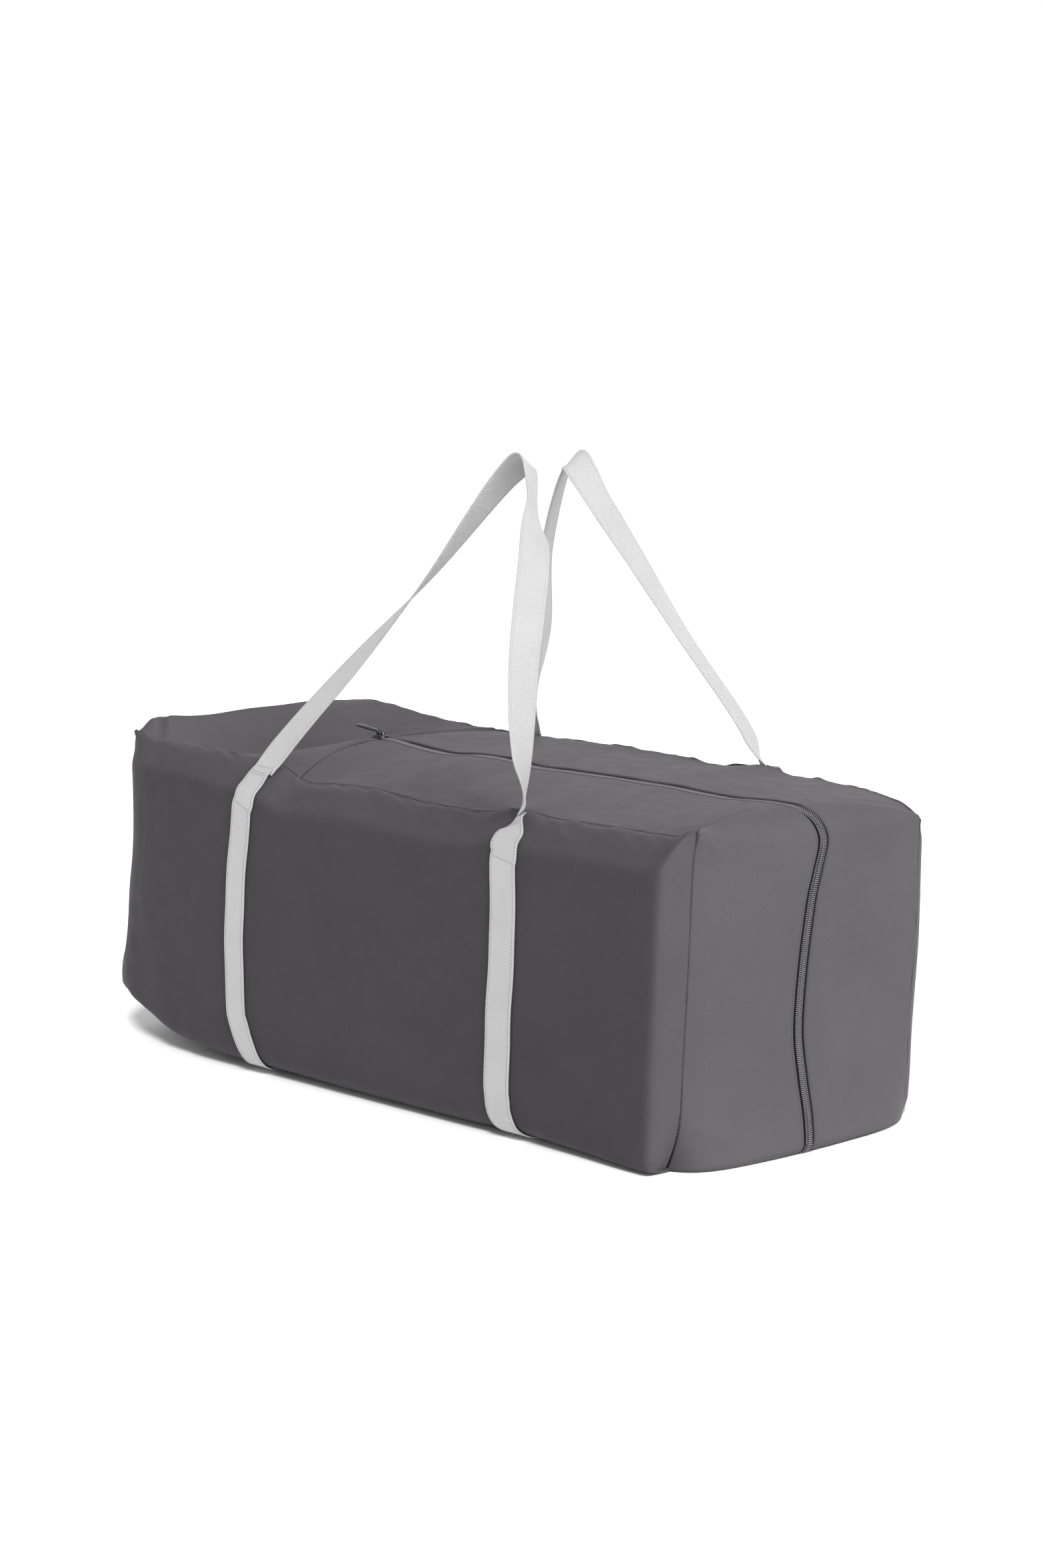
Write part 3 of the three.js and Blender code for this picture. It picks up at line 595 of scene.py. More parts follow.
def ribbed(name, colour, rough=0.75):
    m = Nodes(name, colour, rough, Sheen_Weight=0.15, Sheen_Roughness=0.5, Specular_IOR_Level=0.3)
    v, u = m.uv()
    skew = m.math("ADD", v, m.math("MULTIPLY", m.thread(u, 0.0042), 0.0011))
    ribs = m.thread(skew, 0.0016)
    yarn = m.thread(u, 0.0007)
    m.tint(m.spread(m.noise(28, 4), 0.96, 1.03), m.spread(m.noise(1300, 2), 0.93, 1.05),
           m.between(ribs, 0.84, 1.03))
    m.rough(m.spread(m.noise(120, 3), rough - 0.07, rough + 0.07))
    m.bump(ribs, 0.00028, 0.8)
    m.bump(yarn, 0.0001, 0.5)
    return m.material


def solid(name, colour, rough, grain=900.0, depth=0.00006, patches=0.07, wear=0.05, **settings):
    m = Nodes(name, colour, rough, **settings)
    m.tint(m.spread(m.noise(22, 4), 1 - patches, 1 + patches), m.spread(m.noise(240, 3), 1 - wear, 1 + wear))
    m.rough(m.spread(m.noise(140, 4), rough * 0.82, min(1.0, rough * 1.18)))
    m.bump(m.noise(grain, 3), depth, 0.7)
    return m.material


NYLON = fabric("bag_nylon", (0.0393, 0.0367, 0.0402), 0.0006)
# A slightly darker copy of the bag nylon for the front and back panels: painted shade, so that the sides read
# darker than the top and the ends.
NYLON_SHADED_SIDE = fabric("bag_nylon_painted_shade_side", (0.0372, 0.0345, 0.0377), 0.0006)
THREAD = solid("bag_thread", (0.015, 0.0143, 0.0153), 0.6, 2600, 0.00008)
WEBBING = ribbed("webbing", (0.45, 0.448, 0.45))
WEB_THREAD = solid("webbing_thread", (0.22, 0.218, 0.222), 0.6, 2600, 0.00008)
# Zip tape, made near-black: partly the tape's own dark colour and partly painted shade for the shadowed gaps
# beside the coil.
TAPE_AND_GAP_SHADE = fabric("zip_tape", (0.005, 0.0047, 0.0052), 0.0005, rough=0.7, sheen=0.1)
COIL = solid("zip_coil", (0.062, 0.06, 0.063), 0.42, 1800, 0.00003, Specular_IOR_Level=0.5)
ZIP_METAL = solid("zip_enamel", (0.022, 0.0215, 0.0225), 0.36, 700, 0.00004, Metallic=0.4, Coat_Weight=0.1)
MAT_CLOTH = fabric("mattress_cloth", (0.091, 0.093, 0.1), 0.0008, rough=0.75, sheen=0.15, by_uv=False)
PIPING = fabric("mattress_piping", (0.05, 0.051, 0.055), 0.0009, rough=0.7)
MESH_CLOTH = fabric("mesh_cloth", (0.15, 0.155, 0.165), 0.0016, rough=0.8, sheen=0.1, slub=0.2)
HOOK_TAPE = fabric("hook_tape", (0.025, 0.025, 0.027), 0.0011, rough=0.9, sheen=0.05)
TUBE = solid("frame_tube", (0.27, 0.28, 0.285), 0.4, 1500, 0.00003, Metallic=0.6)
MOULDED = solid("moulding", (0.042, 0.043, 0.046), 0.55, 1100, 0.00009)
STEEL = solid("axle_steel", (0.5, 0.5, 0.5), 0.3, 500, 0.00002, Metallic=1.0)
WHEEL = solid("wheel", (0.016, 0.016, 0.017), 0.6, 900, 0.00012)


def add(name, data):
    obj = bpy.data.objects.new(name, data)
    bpy.context.scene.collection.objects.link(obj)
    return obj


def piece(name, part, material, body="bag", stands_for=()):
    """A mesh in the frame. body None leaves it free for bend()."""
    points, faces, uv = part
    points = np.column_stack([points[:, :2], np.maximum(points[:, 2], OFF_FLOOR)])
    mesh = bpy.data.meshes.new(name)
    mesh.from_pydata(((points - [CENTRE_X, 0, 0]) / 1000).tolist(), [], faces)
    layer = mesh.uv_layers.new(name="UVMap")
    corner = np.zeros(len(mesh.loops), np.int32)
    mesh.loops.foreach_get("vertex_index", corner)
    layer.data.foreach_set("uv", (uv[corner] / 1000).ravel())
    work = bmesh.new()
    work.from_mesh(mesh)
    bmesh.ops.recalc_face_normals(work, faces=work.faces)
    work.to_mesh(mesh)
    work.free()
    mesh.polygons.foreach_set("use_smooth", np.ones(len(mesh.polygons), bool))
    mesh.materials.append(material)
    obj = add(name, mesh)
    if body:
        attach(obj, body)
    if stands_for:
        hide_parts(*stands_for)
    return obj


def bend(name, part, material, stands_for=()):
    """A piece in no body, with its placement baked into its mesh."""
    obj = piece(name, part, material, None, stands_for)
    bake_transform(obj)
    return obj


def side_name(side):
    return "front" if side < 0 else "back"


def flap_weight(x):
    return ramp(x, -150, -55) * (1 - ramp(x, 236, 320))


# ---- bag cloth
STITCHES = []                    # of the seams that stay with the bag


def side_panel(side):
    us = spaced(lambda t: side_point(side, t, 1.5 + 0 * t), 0, 3, 3.3)
    ks = spaced(lambda t: side_at(side, 40 + 0 * t, t), 0, 3, 3.3)
    u, k = np.meshgrid(us, ks, indexing="ij")
    grid = side_point(side, u, k)
    n = normals(grid)
    grid = grid + n * side_relief(side, grid, k)[..., None]
    grid = roll_edges(grid, n)
    grid[..., 2] = np.maximum(grid[..., 2], LOWEST_CLOTH)
    name = side_name(side)
    # The front and back panels take the darker copy of the nylon, which is painted shade.
    obj = piece(name + "_cloth", shell(grid, n=n), NYLON_SHADED_SIDE, stands_for=[name + "_panel"])
    for row, normal in ((grid[:, 0], n[:, 2]), (grid[0], n[2]), (grid[-1], n[-3]), (grid[:, -1], n[:, -3])):
        STITCHES.append(stitch_row(row, normal, 3.3, 2.1, 0.3, lift=0.9))


side_panel(-1)
side_panel(1)


def cover_relief(p, y):
    """The top and the right end."""
    x, z = p[..., 0], p[..., 2]
    d = soft(p)
    near = np.exp(-((SEAM_Y - abs(y)) / 13) ** 1.5)
    d = d + near * 0.55 * noise(x / 14, y / 8, z / 14)
    hem = abs(y)
    d = d + 0.55 * peak(hem - 7, 2.6) - 0.4 * peak(hem - TOPSTITCH_Y, 0.9)
    ripple = 0.5 * np.sin(x / 11) * noise(x / 60, 5, z / 60)
    return d + ripple * peak(hem - 10, 16)


def cover(side):
    """Half of the top cover and of the right end, from the cross seam to the bottom: one piece of cloth."""
    name = side_name(side)
    ys = spaced_across(CHAIN_EDGE, SEAM_Y - SEAM_GAP, 3.3) * side
    s = np.concatenate([[0, 0.0006, 0.0014, 0.0026, 0.0042], runs(152, 15, 76)[1:],
                        3 + np.array([0.15, 0.3, 0.5, 0.7, 0.85, 0.93, 1])])
    s, y = np.meshgrid(s, ys, indexing="ij")
    grid = strip(1, cross_x(y) + SEAM_GAP, s, y)
    n = normals(grid)
    crease = 0.9 * peak(s - 0.985, 0.006) * ramp(abs(y), 18, 60) * (s < 1.3)
    relief = cover_relief(grid, y) - crease
    relief = relief + 1.4 * fold(grid[..., 1], grid[..., 2], (-136, 292), (-112, 272), 5) * (s > 1.4)
    relief = relief - 1.2 * fold(grid[..., 1], grid[..., 2], (-140, 268), (-118, 262), 3.5) * (s > 1.4)
    relief = relief + 1.0 * fold(grid[..., 1], grid[..., 2], (-130, 40), (-96, 22), 7) * (s > 1.4)
    grid = grid + n * relief[..., None]
    grid = roll_edges(grid, n, (1.5, 1, 1, 1))
    grid[..., 2] = np.maximum(grid[..., 2], LOWEST_CLOTH)
    nodes = ["top_%s_flap" % name, "end_%s_panel" % name]
    obj = bend("cover_%s_cloth" % name, shell(grid, n=n), NYLON,
               nodes)
    hem = np.argmin(abs(abs(ys) - TOPSTITCH_Y))
    rows = stitch_row(grid[:, hem], n[:, hem], 2.9, 2.0, 0.26, lift=0.12)
    bend("cover_%s_topstitch" % name, rows, THREAD)
    STITCHES.append(stitch_row(grid[0], n[2], 3.3, 2.1, 0.3, lift=0.9))


cover(-1)
cover(1)


def left_cloth():
    """The slack left end: the top from the cross seam to the end, the end and its lower corner."""
    edge = SEAM_Y - SEAM_GAP
    ys = spaced_across(-edge, edge, 3.2)
    s = np.concatenate([[0, 0.0012, 0.003, 0.0055, 0.009], runs(72, 10, 76, 9)[1:-1], [3.93, 3.97, 4]])
    s, y = np.meshgrid(s, ys, indexing="ij")
    grid = strip(-1, cross_x(y) - SEAM_GAP, s, y)
    n = normals(grid)
    x, yy, z = grid[..., 0], grid[..., 1], grid[..., 2]
    on_top = 1 - ramp(s, 0.97, 1.4)
    d = soft(grid) + 0.5 * np.exp(-((SEAM_Y - abs(y)) / 13) ** 1.5) * noise(x / 14, y / 8, z / 14)
    folds = (((-384, -84), (-336, -131), 3.0, -5.5), ((-392, -112), (-352, -108), 2.6, -4.5),
             ((-240, -136), (-184, -128), 4, 2.2), ((-236, -125), (-184, -118), 3.4, -6.0),
             ((-300, 60), (-200, 20), 16, 2.5), ((-330, 20), (-230, -30), 14, -2.0),
             ((-250, 110), (-190, 70), 12, 2.0), ((-215, -70), (-176, -20), 9, 1.6))
    step = peak(s, 0.05) * ramp(yy, -90, -30) * (1 - peak(yy, 15))
    d = d + 2.6 * step
    for start, end, width, height in folds:
        d = d + on_top * height * fold(x, yy, start, end, width)
    down = ramp(s, 1.6, 2.1)
    for at, width, height in ((-104, 12, 3.0), (-60, 15, -3.5), (-20, 18, 3.0), (38, 16, -3.5), (86, 14, 3.0)):
        sway = at + 10 * np.sin(z / 42 + at)
        d = d + down * height * peak(yy - sway, width) * ramp(z, 20, 90)
    grid = grid + n * d[..., None]
    grid = roll_edges(grid, n, (1.5, 1, 1, 1))
    obj = piece("left_cloth", shell(grid, n=n), NYLON, stands_for=["left_gusset"])


left_cloth()


def bottom_cloth():
    edge = SEAM_Y - SEAM_GAP
    ys = spaced_across(-edge, edge, 4.5)
    left = strip(-1, cross_x(ys), np.full_like(ys, 4.0), ys)[:, 0] + 2 * SEAM_GAP
    right = strip(1, cross_x(ys), np.full_like(ys, 4.0), ys)[:, 0] - 2 * SEAM_GAP
    u = spaced(lambda t: np.stack([t * 720, 0 * t, 0 * t], 1), 0, 1, 5)[:, None]
    x = left[None] + (right - left)[None] * u
    y = np.broadcast_to(ys[None], x.shape)
    grid = np.stack([x, y * seam_y(x) / SEAM_Y, bottom_z(x)], -1)
    n = normals(grid)
    grid = grid + n * (0.25 * soft(grid) - 0.2)[..., None]
    grid = roll_edges(grid, n, (0.6, 0.6, 0.6, 0.6))
    grid[..., 2] = np.maximum(grid[..., 2], 1.5 * LOWEST_CLOTH)
    obj = piece("bottom_cloth", shell(grid, n=n), NYLON, stands_for=["bottom_panel"])


bottom_cloth()


# ---- zip
def zip_line(step):
    s = runs(700, 200, 400, 60)
    line = strip(1, -163.0, s, 0 * s)
    flat = strip(1, -163.0, s, 0 * s + 2.0) - strip(1, -163.0, s, 0 * s - 2.0)
    at, side, part_way, _ = even(line, step, flat, s[:, None])
    part_way = part_way[:, 0]
    along = heading(at)
    side = squared(side, along)
    up = np.cross(along, side)
    lift = soft(at) - 1.3 * ramp(at[:, 0], -150, -120) * (1 - ramp(part_way, 1.0, 1.6))
    return at + up * lift[:, None], along, side, up, flap_weight(at[:, 0]) * (part_way < 1.5)


def zip_halves():
    for side in (-1, 1):
        name = side_name(side)
        at, along, out, up, weight = zip_line(3.0)
        across = np.array([0.7, 2.4, 4.6, 7.5, 10.5, 13.5]) * side
        grid = at[:, None] + across[None, :, None] * out[:, None] - up[:, None] * TAPE_DEPTH
        part = shell(grid, 0.6, n=np.broadcast_to(up[:, None], grid.shape))
        # The near-black tape under the coil makes the dark lines on either side of it, partly painted shade.
        bend("zip_tape_" + name, part, TAPE_AND_GAP_SHADE)

        points = 11
        at, along, out, up, weight = zip_line(COIL_PITCH / points)
        turn = np.arange(len(at)) * 2 * math.pi / points + (math.pi if side > 0 else 0)
        lateral = COIL_MIDDLE - COIL_REACH * np.cos(turn)
        height = -0.55 + 0.85 * np.sin(turn)
        lag = -0.85 * (lateral - COIL_MIDDLE) / COIL_REACH
        wire = at + along * lag[:, None] + out * (side * lateral)[:, None] + up * height[:, None]
        run = heading(wire)
        across = unit(np.cross(run, up))
        nodes = ["zip_front_half", "end_zip"] if side < 0 else ["zip_back_half"]
        part = sweep(circle(0.4, 6), wire, across, unit(np.cross(across, run)))
        bend("zip_coil_" + name, part, COIL, nodes)

        at, along, out, up, weight = zip_line(COIL_PITCH)
        middle = at + out * (side * 3.0) + up * 0.42
        thread = capsules(middle, along, up, 1.35, 0.24)
        bend("zip_thread_" + name, thread, THREAD)


zip_halves()


def slider():
    def half(points):
        return points + [(x, -y) for x, y in points[::-1]]

    body = half([(-172, 2.0), (-171.2, 3.4), (-168, 4.4), (-163, 4.9), (-159.5, 4.6), (-158.2, 3.2)])
    lower = half([(-171, 4.2), (-167, 5.1), (-160, 5.3), (-159, 4.6)])
    parts = [plate(body, 301.3, 302.9, 0.5), plate(lower, 299.9, 301.5, 0.3)]
    for y in (-2.9, 2.9):
        ear = [(-167.6, y - 0.7), (-167.6, y + 0.7), (-162.4, y + 0.7), (-162.4, y - 0.7)]
        parts.append(plate(ear, 302.6, 307.4, 0.35))
    bridge = np.array([(-169, 302.6), (-168, 305.8), (-166, 307.9),
                       (-164, 307.9), (-162, 305.8), (-161, 302.6)])
    fine = np.stack([np.interp(np.linspace(0, 5, 31), range(6), bridge[:, i]) for i in (0, 1)], 1)
    for _ in range(4):
        fine[1:-1] = (fine[:-2] + 2 * fine[1:-1] + fine[2:]) / 4
    at = np.column_stack([fine[:, 0], 0 * fine[:, 0], fine[:, 1]])
    side = np.tile([0.0, 1, 0], (len(at), 1))
    up = unit(np.cross(heading(at), side))
    ring = [(1.5, 0.15), (1.1, 0.5), (-1.1, 0.5), (-1.5, 0.15),
            (-1.5, -0.15), (-1.1, -0.5), (1.1, -0.5), (1.5, -0.15)]
    parts.append(sweep(ring, at, side, up))
    piece("slider_body", join(parts), ZIP_METAL, "slider", ["zip_slider"])

    outline = half([(-34, 1.2), (-32.6, 2.7), (-29, 3.5), (-12, 3.3), (-9.5, 2.4), (-7, 1.3), (-4.4, 1.2)])
    tab = [plate(outline, -0.8, 0.8, 0.4)]
    rib = half([(-31, 1.4), (-29, 2.2), (-14, 2.0), (-12.5, 1.1)])
    tab.append(plate(rib, 0.5, 1.15, 0.3))
    tab.append(plate(rib, -1.15, -0.5, 0.3))
    turn = np.linspace(0, 2 * math.pi, 25)[:-1]
    loop = np.column_stack([-2.2 + 2.9 * np.cos(turn), 1.6 * np.sin(turn) * 1.2, 0 * turn])
    closed = np.concatenate([loop, loop[:1]])
    side = np.tile([0.0, 0, 1], (25, 1))
    around = unit(np.cross(side, heading(closed)))
    tab.append(sweep(circle(0.62, 8), closed, side, around, cap=False))
    points, faces, uv = join(tab)
    tilt = math.radians(6)
    points = np.column_stack([points[:, 0] * math.cos(tilt) + points[:, 2] * math.sin(tilt), points[:, 1],
                              points[:, 2] * math.cos(tilt) - points[:, 0] * math.sin(tilt)]) + TAB_PIN
    piece("slider_tab", (points, faces, uv), ZIP_METAL, "pull", ["pull_tab"])

    half_width = 4.6
    xs, ys = np.meshgrid(np.linspace(-182, -160, 12), np.linspace(-half_width, half_width, 7), indexing="ij")
    grid = np.stack([xs, ys, top_z(xs, 0 * ys) + 1.0 - 0.6 * (ys / half_width) ** 4], -1)
    grid[..., 2] += soft(grid)
    piece("zip_stop_tape", shell(grid, 1.1), TAPE_AND_GAP_SHADE, stands_for=["zip_start_stop"])


slider()


# ---- webbing
def web_section(width=WEB_WIDTH):
    q = np.array([-1, -0.97, -0.9, -0.8, -0.55, -0.25, 0, 0.25, 0.55, 0.8, 0.9, 0.97, 1])
    h = WEB_THICK / 2 * np.where(abs(q) == 1, 0.35, np.where(abs(q) > 0.95, 0.8, 1.0))
    x = q * width / 2
    return np.concatenate([np.column_stack([x, h]), np.column_stack([x[::-1], -h[::-1]])])


def web_rows(at, side, up, faces=(1, -1), width=WEB_WIDTH):
    """The two rows of stitches near the edges of a length of webbing."""
    rows = []
    for edge in (-1, 1):
        line = at + side * edge * (width / 2 - WEB_STITCH_INSET)
        for face in faces:
            rows.append(stitch_row(line, up * face, 3.1, 2.2, 0.3, lift=WEB_THICK / 2 + 0.02, ends=5))
    return rows


def cross_rows(at, side, up, distances, width):
    """Rows of stitches straight across the webbing."""
    d = spans(at[:, None], 0)[:, 0]
    rows = []
    for where in distances:
        i = int(np.argmin(abs(d - where)))
        line = at[i] + (width / 2 - WEB_STITCH_INSET) * np.linspace(-1, 1, 12)[:, None] * side[i]
        normal = np.tile(up[i], (12, 1))
        rows.append(stitch_row(line, normal, 2.6, 2.0, 0.3, lift=WEB_THICK / 2 + 0.02, ends=0.5))
    return rows


def band(name, x, front_line, back_top, width, top_side):
    """Webbing from the front handle down the front, under the bag and up the back. v runs 0..3 down the
    front as k does in side_section(), 3..4 underneath and 4..7 up the back."""
    def middle(v, offset):
        lean = 1 - ramp(np.where(v <= 3, v, 7 - v), 0.3, 1.3)
        front = side_at(-1, front_line(np.clip(v, 0, 3)) + offset, np.clip(v, 0, 3))
        back = side_at(1, x + offset + (back_top - x) * lean, np.clip(7 - v, 0, 3))
        under = np.stack(np.broadcast_arrays(x + offset, SEAM_Y * (2 * np.clip(v - 3, 0, 1) - 1),
                                             bottom_z(x + offset)), -1)
        return np.where((v <= 3)[..., None], front, np.where((v >= 4)[..., None], back, under))

    v = np.concatenate([np.linspace(0.22, 1, 26)[:-1], runs(50, 40, 60, 40, 50, first=1),
                        np.linspace(6, 6.78, 26)[1:]])
    at = middle(v, 0.0)
    side = unit(middle(v, 12.0) - middle(v, -12.0))
    twist = 1 - ramp(v, 0.26, 0.55)[:, None]
    side = unit(side * (1 - twist) + twist * np.array(top_side))
    along = heading(at)
    side = squared(side, along)
    up = np.cross(along, side)
    up = up * np.sign((up * (at - [x, 0, 150])).sum(1, keepdims=True))
    relief = soft(at) * (abs(at[:, 1]) > SEAM_Y - 0.1)
    lift = np.where((v > 3) & (v < 4), 0.25, WEB_LIFT) + relief + WEB_THICK / 2
    at = at + up * lift[:, None]
    sway = 0.35 * np.sin(v * 19 + x)
    at = at + side * sway[:, None]
    at, side, up, d = even(at, 2.6, side, up)
    side, up = unit(side), unit(up)
    at[:, 2] = np.maximum(at[:, 2], WEB_THICK / 2 + OFF_FLOOR)
    part = sweep(web_section(width), at, side, up)
    piece(name + "_webbing", part, WEBBING, stands_for=[name + "_band"])
    rows = web_rows(at, side, up, (1,), width)
    rows += cross_rows(at, side, up, (7, 9.6, 44, d[-1] - 7, d[-1] - 44), width)
    piece(name + "_webbing_thread", join(rows), WEB_THREAD)


CREST_TWIST = unit(np.array([0.74, -0.67, 0]))      # how the right band turns at the front crest
left_line = table([0, 0.2, 0.4, 0.6, 0.8, 1, 1.3, 1.7, 2, 2.35, 2.6, 3],
                  [-150, -150.5, -151.5, -152.5, -154.5, -158.2, -165.5, -170, -169, -160, -158, -168])
right_line = table([0, 0.3, 0.6, 0.8, 1, 1.3, 1.7, 2, 2.5, 3],
                   [191, 190, 192, 193.5, 192.3, 192.8, 187, 183.5, 186, 189])
band("left", LEFT_BAND_X, left_line, -126, 26.5, (1, 0, 0))
band("right", RIGHT_BAND_X, right_line, 188, 31.5, CREST_TWIST)


def handle(name, out, points, turns, bases):
    """Webbing through the points. A turn of 1 puts it on edge to the plane that the handle lies in; bases
    are the directions across it where it is sewn down. out is -1 for the front and 1 for the back."""
    knots = np.column_stack([np.array(points, float), turns])
    gaps = np.sqrt(np.linalg.norm(np.diff(knots[:, :3], axis=0), axis=1))
    t = np.concatenate([[0], np.cumsum(gaps)])
    fine = np.linspace(0, t[-1], 1500)
    line = np.stack([table(t, knots[:, i])(fine) for i in range(4)], 1)
    at, turn, d = even(line[:, :3], 2.6, np.repeat(line[:, 3:], 2, 1))
    apex = np.array(points, float)[int(np.argmax(np.array(points)[:, 2]))]
    plane = unit(np.array([0, out * (290 - apex[2]), out * apex[1] - 157.0]))
    along = heading(at)
    flat = unit(np.cross(along, plane))
    angle = turn[:, :1] * math.pi / 2
    side = flat * np.cos(angle) + plane * np.sin(angle)
    edge = np.minimum(d, d[-1] - d)
    sewn = 1 - ramp(edge, 6, 44)[:, None]
    base = np.where((d < d[-1] / 2)[:, None], bases[0], bases[1])
    side = unit(side * (1 - sewn) + np.sign((side * base).sum(1, keepdims=True)) * sewn * base)
    for _ in range(6):
        side[1:-1] = (side[:-2] + 2 * side[1:-1] + side[2:]) / 4
    side = squared(side, along)
    up = np.cross(along, side)
    section = web_section()
    part = sweep(section, at, side, up)
    bend(name + "_handle_webbing", part, WEBBING,
         [name + "_handle"])
    thread = join(web_rows(at, side, up))
    bend(name + "_handle_thread", thread, WEB_THREAD)


handle("front", -1,
       [(-150.5, -158.5, 287), (-147, -151, 297), (-124.1, -135, 331), (-75.6, -102, 397),
        (-33, -60, 466), (10.5, 0, 559.8), (33.5, 2, 573.4), (51.3, -8, 537), (105.6, -58, 500),
        (146.7, -110, 410), (175.2, -140, 330), (190, -152, 297), (191.5, -158.5, 287)],
       [0, 0, 0.03, 0.18, 0.54, 1, 1.1, 1.24, 0.73, 0.76, 1.08, 1.45, 1.6],
       [(1, 0, 0), CREST_TWIST])
handle("back", 1,
       [(-125, 166.5, 286), (-124, 158.5, 292), (-120, 153, 299), (-108, 147, 326), (-62.9, 118, 395),
        (-28.9, 86, 480), (30.9, 62, 572), (47, 60, 560.4), (59.9, 66, 537.9), (72.9, 90, 496),
        (117.2, 118, 415), (171.9, 142, 335), (186, 152, 302), (188, 158.5, 294), (188, 166.5, 287)],
       [0, 0, 0.1, 0.45, 0.74, 0.81, 0.82, 0.88, 1.03, 1.12, 1.3, 1.32, 1.3, 1.3, 1.3],
       [(1, 0, 0), unit(np.array([0.9, -0.43, 0]))])

piece("seam_stitches", join(STITCHES), THREAD)


# ---- inside the bag
def simulate(obj, frames=20, cap=0.005):
    """Swells obj with Cloth pressure and keeps the result in its mesh."""
    rest = np.zeros(len(obj.data.vertices) * 3)
    obj.data.vertices.foreach_get("co", rest)
    cloth = obj.modifiers.new("Cloth", "CLOTH")
    cloth.settings.quality = 5
    cloth.settings.mass = 0.3
    cloth.settings.use_pressure = True
    cloth.settings.uniform_pressure_force = 4
    cloth.settings.effector_weights.gravity = 0
    cloth.point_cache.frame_start = 1
    cloth.point_cache.frame_end = frames
    for number in range(1, frames + 1):
        bpy.context.scene.frame_set(number)
    graph = bpy.context.evaluated_depsgraph_get()
    swollen = np.zeros_like(rest)
    obj.evaluated_get(graph).data.vertices.foreach_get("co", swollen)
    obj.modifiers.remove(cloth)
    bpy.context.scene.frame_set(1)
    move = (swollen - rest).reshape(-1, 3)
    far = np.maximum(np.linalg.norm(move, axis=1, keepdims=True), 1e-9)
    move = move * np.minimum(1, cap / far)
    obj.data.vertices.foreach_set("co", (rest.reshape(-1, 3) + move).ravel())
    obj.data.update()


def round_box(length, width, thick, radius):
    """A flat pad with rounded upright corners and soft rims, lying on its middle plane."""
    ring = []
    for cx, cy, start in ((1, 1, 0), (-1, 1, 90), (-1, -1, 180), (1, -1, 270)):
        for a in np.radians(start + np.linspace(0, 90, 7)):
            ring.append((cx * (length / 2 - radius) + radius * math.cos(a),
                         cy * (width / 2 - radius) + radius * math.sin(a)))
    return plate(ring, -thick / 2, thick / 2, thick * 0.3)


def pads():
    """The mattress folded in four: one quarter is swollen and the others are copies of it."""
    source = piece("pad_source", round_box(544, 236, 11, 9), MAT_CLOTH, body=None)
    remesh = source.modifiers.new("Remesh", "REMESH")
    remesh.mode = "VOXEL"
    remesh.voxel_size = 0.0055
    graph = bpy.context.evaluated_depsgraph_get()
    source.data = bpy.data.meshes.new_from_object(source.evaluated_get(graph))
    source.modifiers.clear()
    simulate(source)
    count = len(source.data.vertices)
    points = np.zeros(count * 3)
    source.data.vertices.foreach_get("co", points)
    points = points.reshape(-1, 3) * 1000 + [CENTRE_X, 0, 0]
    low, high = points.min(0), points.max(0)
    points = (points - (low + high) / 2) * (np.array([549.0, 234, 15.0]) / (high - low))
    faces = [list(p.vertices) for p in source.data.polygons]
    bpy.data.objects.remove(source)
    crease = peak(117 - abs(points[:, 1]), 9) + peak(274.5 - abs(points[:, 0]), 9)
    points[:, 2] *= 1 - 0.35 * np.clip(crease, 0, 1)
    points[:, 2] += 0.5 * noise(points[:, 0] / 60, points[:, 1] / 50, 2)

    ring = np.array(round_box(547, 232, 10, 10)[0][28:56])
    ring = np.concatenate([ring, ring[:1]]) * [1, 1, 0]
    ring = even(ring, 4.0)[0]
    along = heading(ring)
    up = np.tile([0.0, 0, 1], (len(ring), 1))
    pipe = sweep(circle(1.5, 10), ring, np.cross(along, up), up)
    places = {"top": (0, 0, 268), "bottom": (0, 0, 15), "front": (1, -160, 147), "back": (1, 160, 147)}
    for name, (upright, y, z) in places.items():
        turned = [p[:, [0, 2, 1]] if upright else p for p in (points, pipe[0])]
        moved = [p + [71, y, z] for p in turned]
        obj = piece("mattress_%s_pad" % name, from_above(moved[0], faces), MAT_CLOTH,
                    stands_for=["mattress_" + name])
        piece("mattress_%s_piping" % name, (moved[1], pipe[1], pipe[2]), PIPING)


pads()


def rounded_loop(width, height, radius, per=8):
    points = []
    for cy, cz, start in ((1, 1, 0), (-1, 1, 90), (-1, -1, 180), (1, -1, 270)):
        for a in np.radians(start + np.linspace(0, 90, per)):
            points.append((cy * (width / 2 - radius) + radius * math.cos(a),
                           cz * (height / 2 - radius) + radius * math.sin(a)))
    return np.array(points)


def straps():
    """Hook-and-loop straps round the mattress, each with its end lapped over on top."""
    low, high = 15 - 8.3, 268 + 8.3
    for name, x in (("left", -110), ("right", 240)):
        loop = rounded_loop(336, high - low + 2, 34)
        loop = np.concatenate([loop, loop[:8], loop[8:9] * [0.6, 1]])
        at = np.column_stack([0 * loop[:, 0], loop]) + [x, 0, (low + high) / 2]
        at, d = even(at, 5.0)
        lap = 2.1 * ramp(d, d[-1] - 130, d[-1] - 105)
        along = heading(at)
        side = np.tile([1.0, 0, 0], (len(at), 1))
        up = np.cross(along, side)
        up = up * np.sign((up * (at - [x, 0, 145])).sum(1, keepdims=True))
        at = at + up * (1.0 + lap)[:, None]
        q = np.linspace(-18.5, 18.5, 9)
        grid = at[:, None] + q[None, :, None] * side[:, None]
        n = np.broadcast_to(up[:, None], grid.shape)
        obj = piece("strap_" + name, shell(grid, 1.6, n=n), HOOK_TAPE,
                    stands_for=["mattress_strap_" + name])


straps()


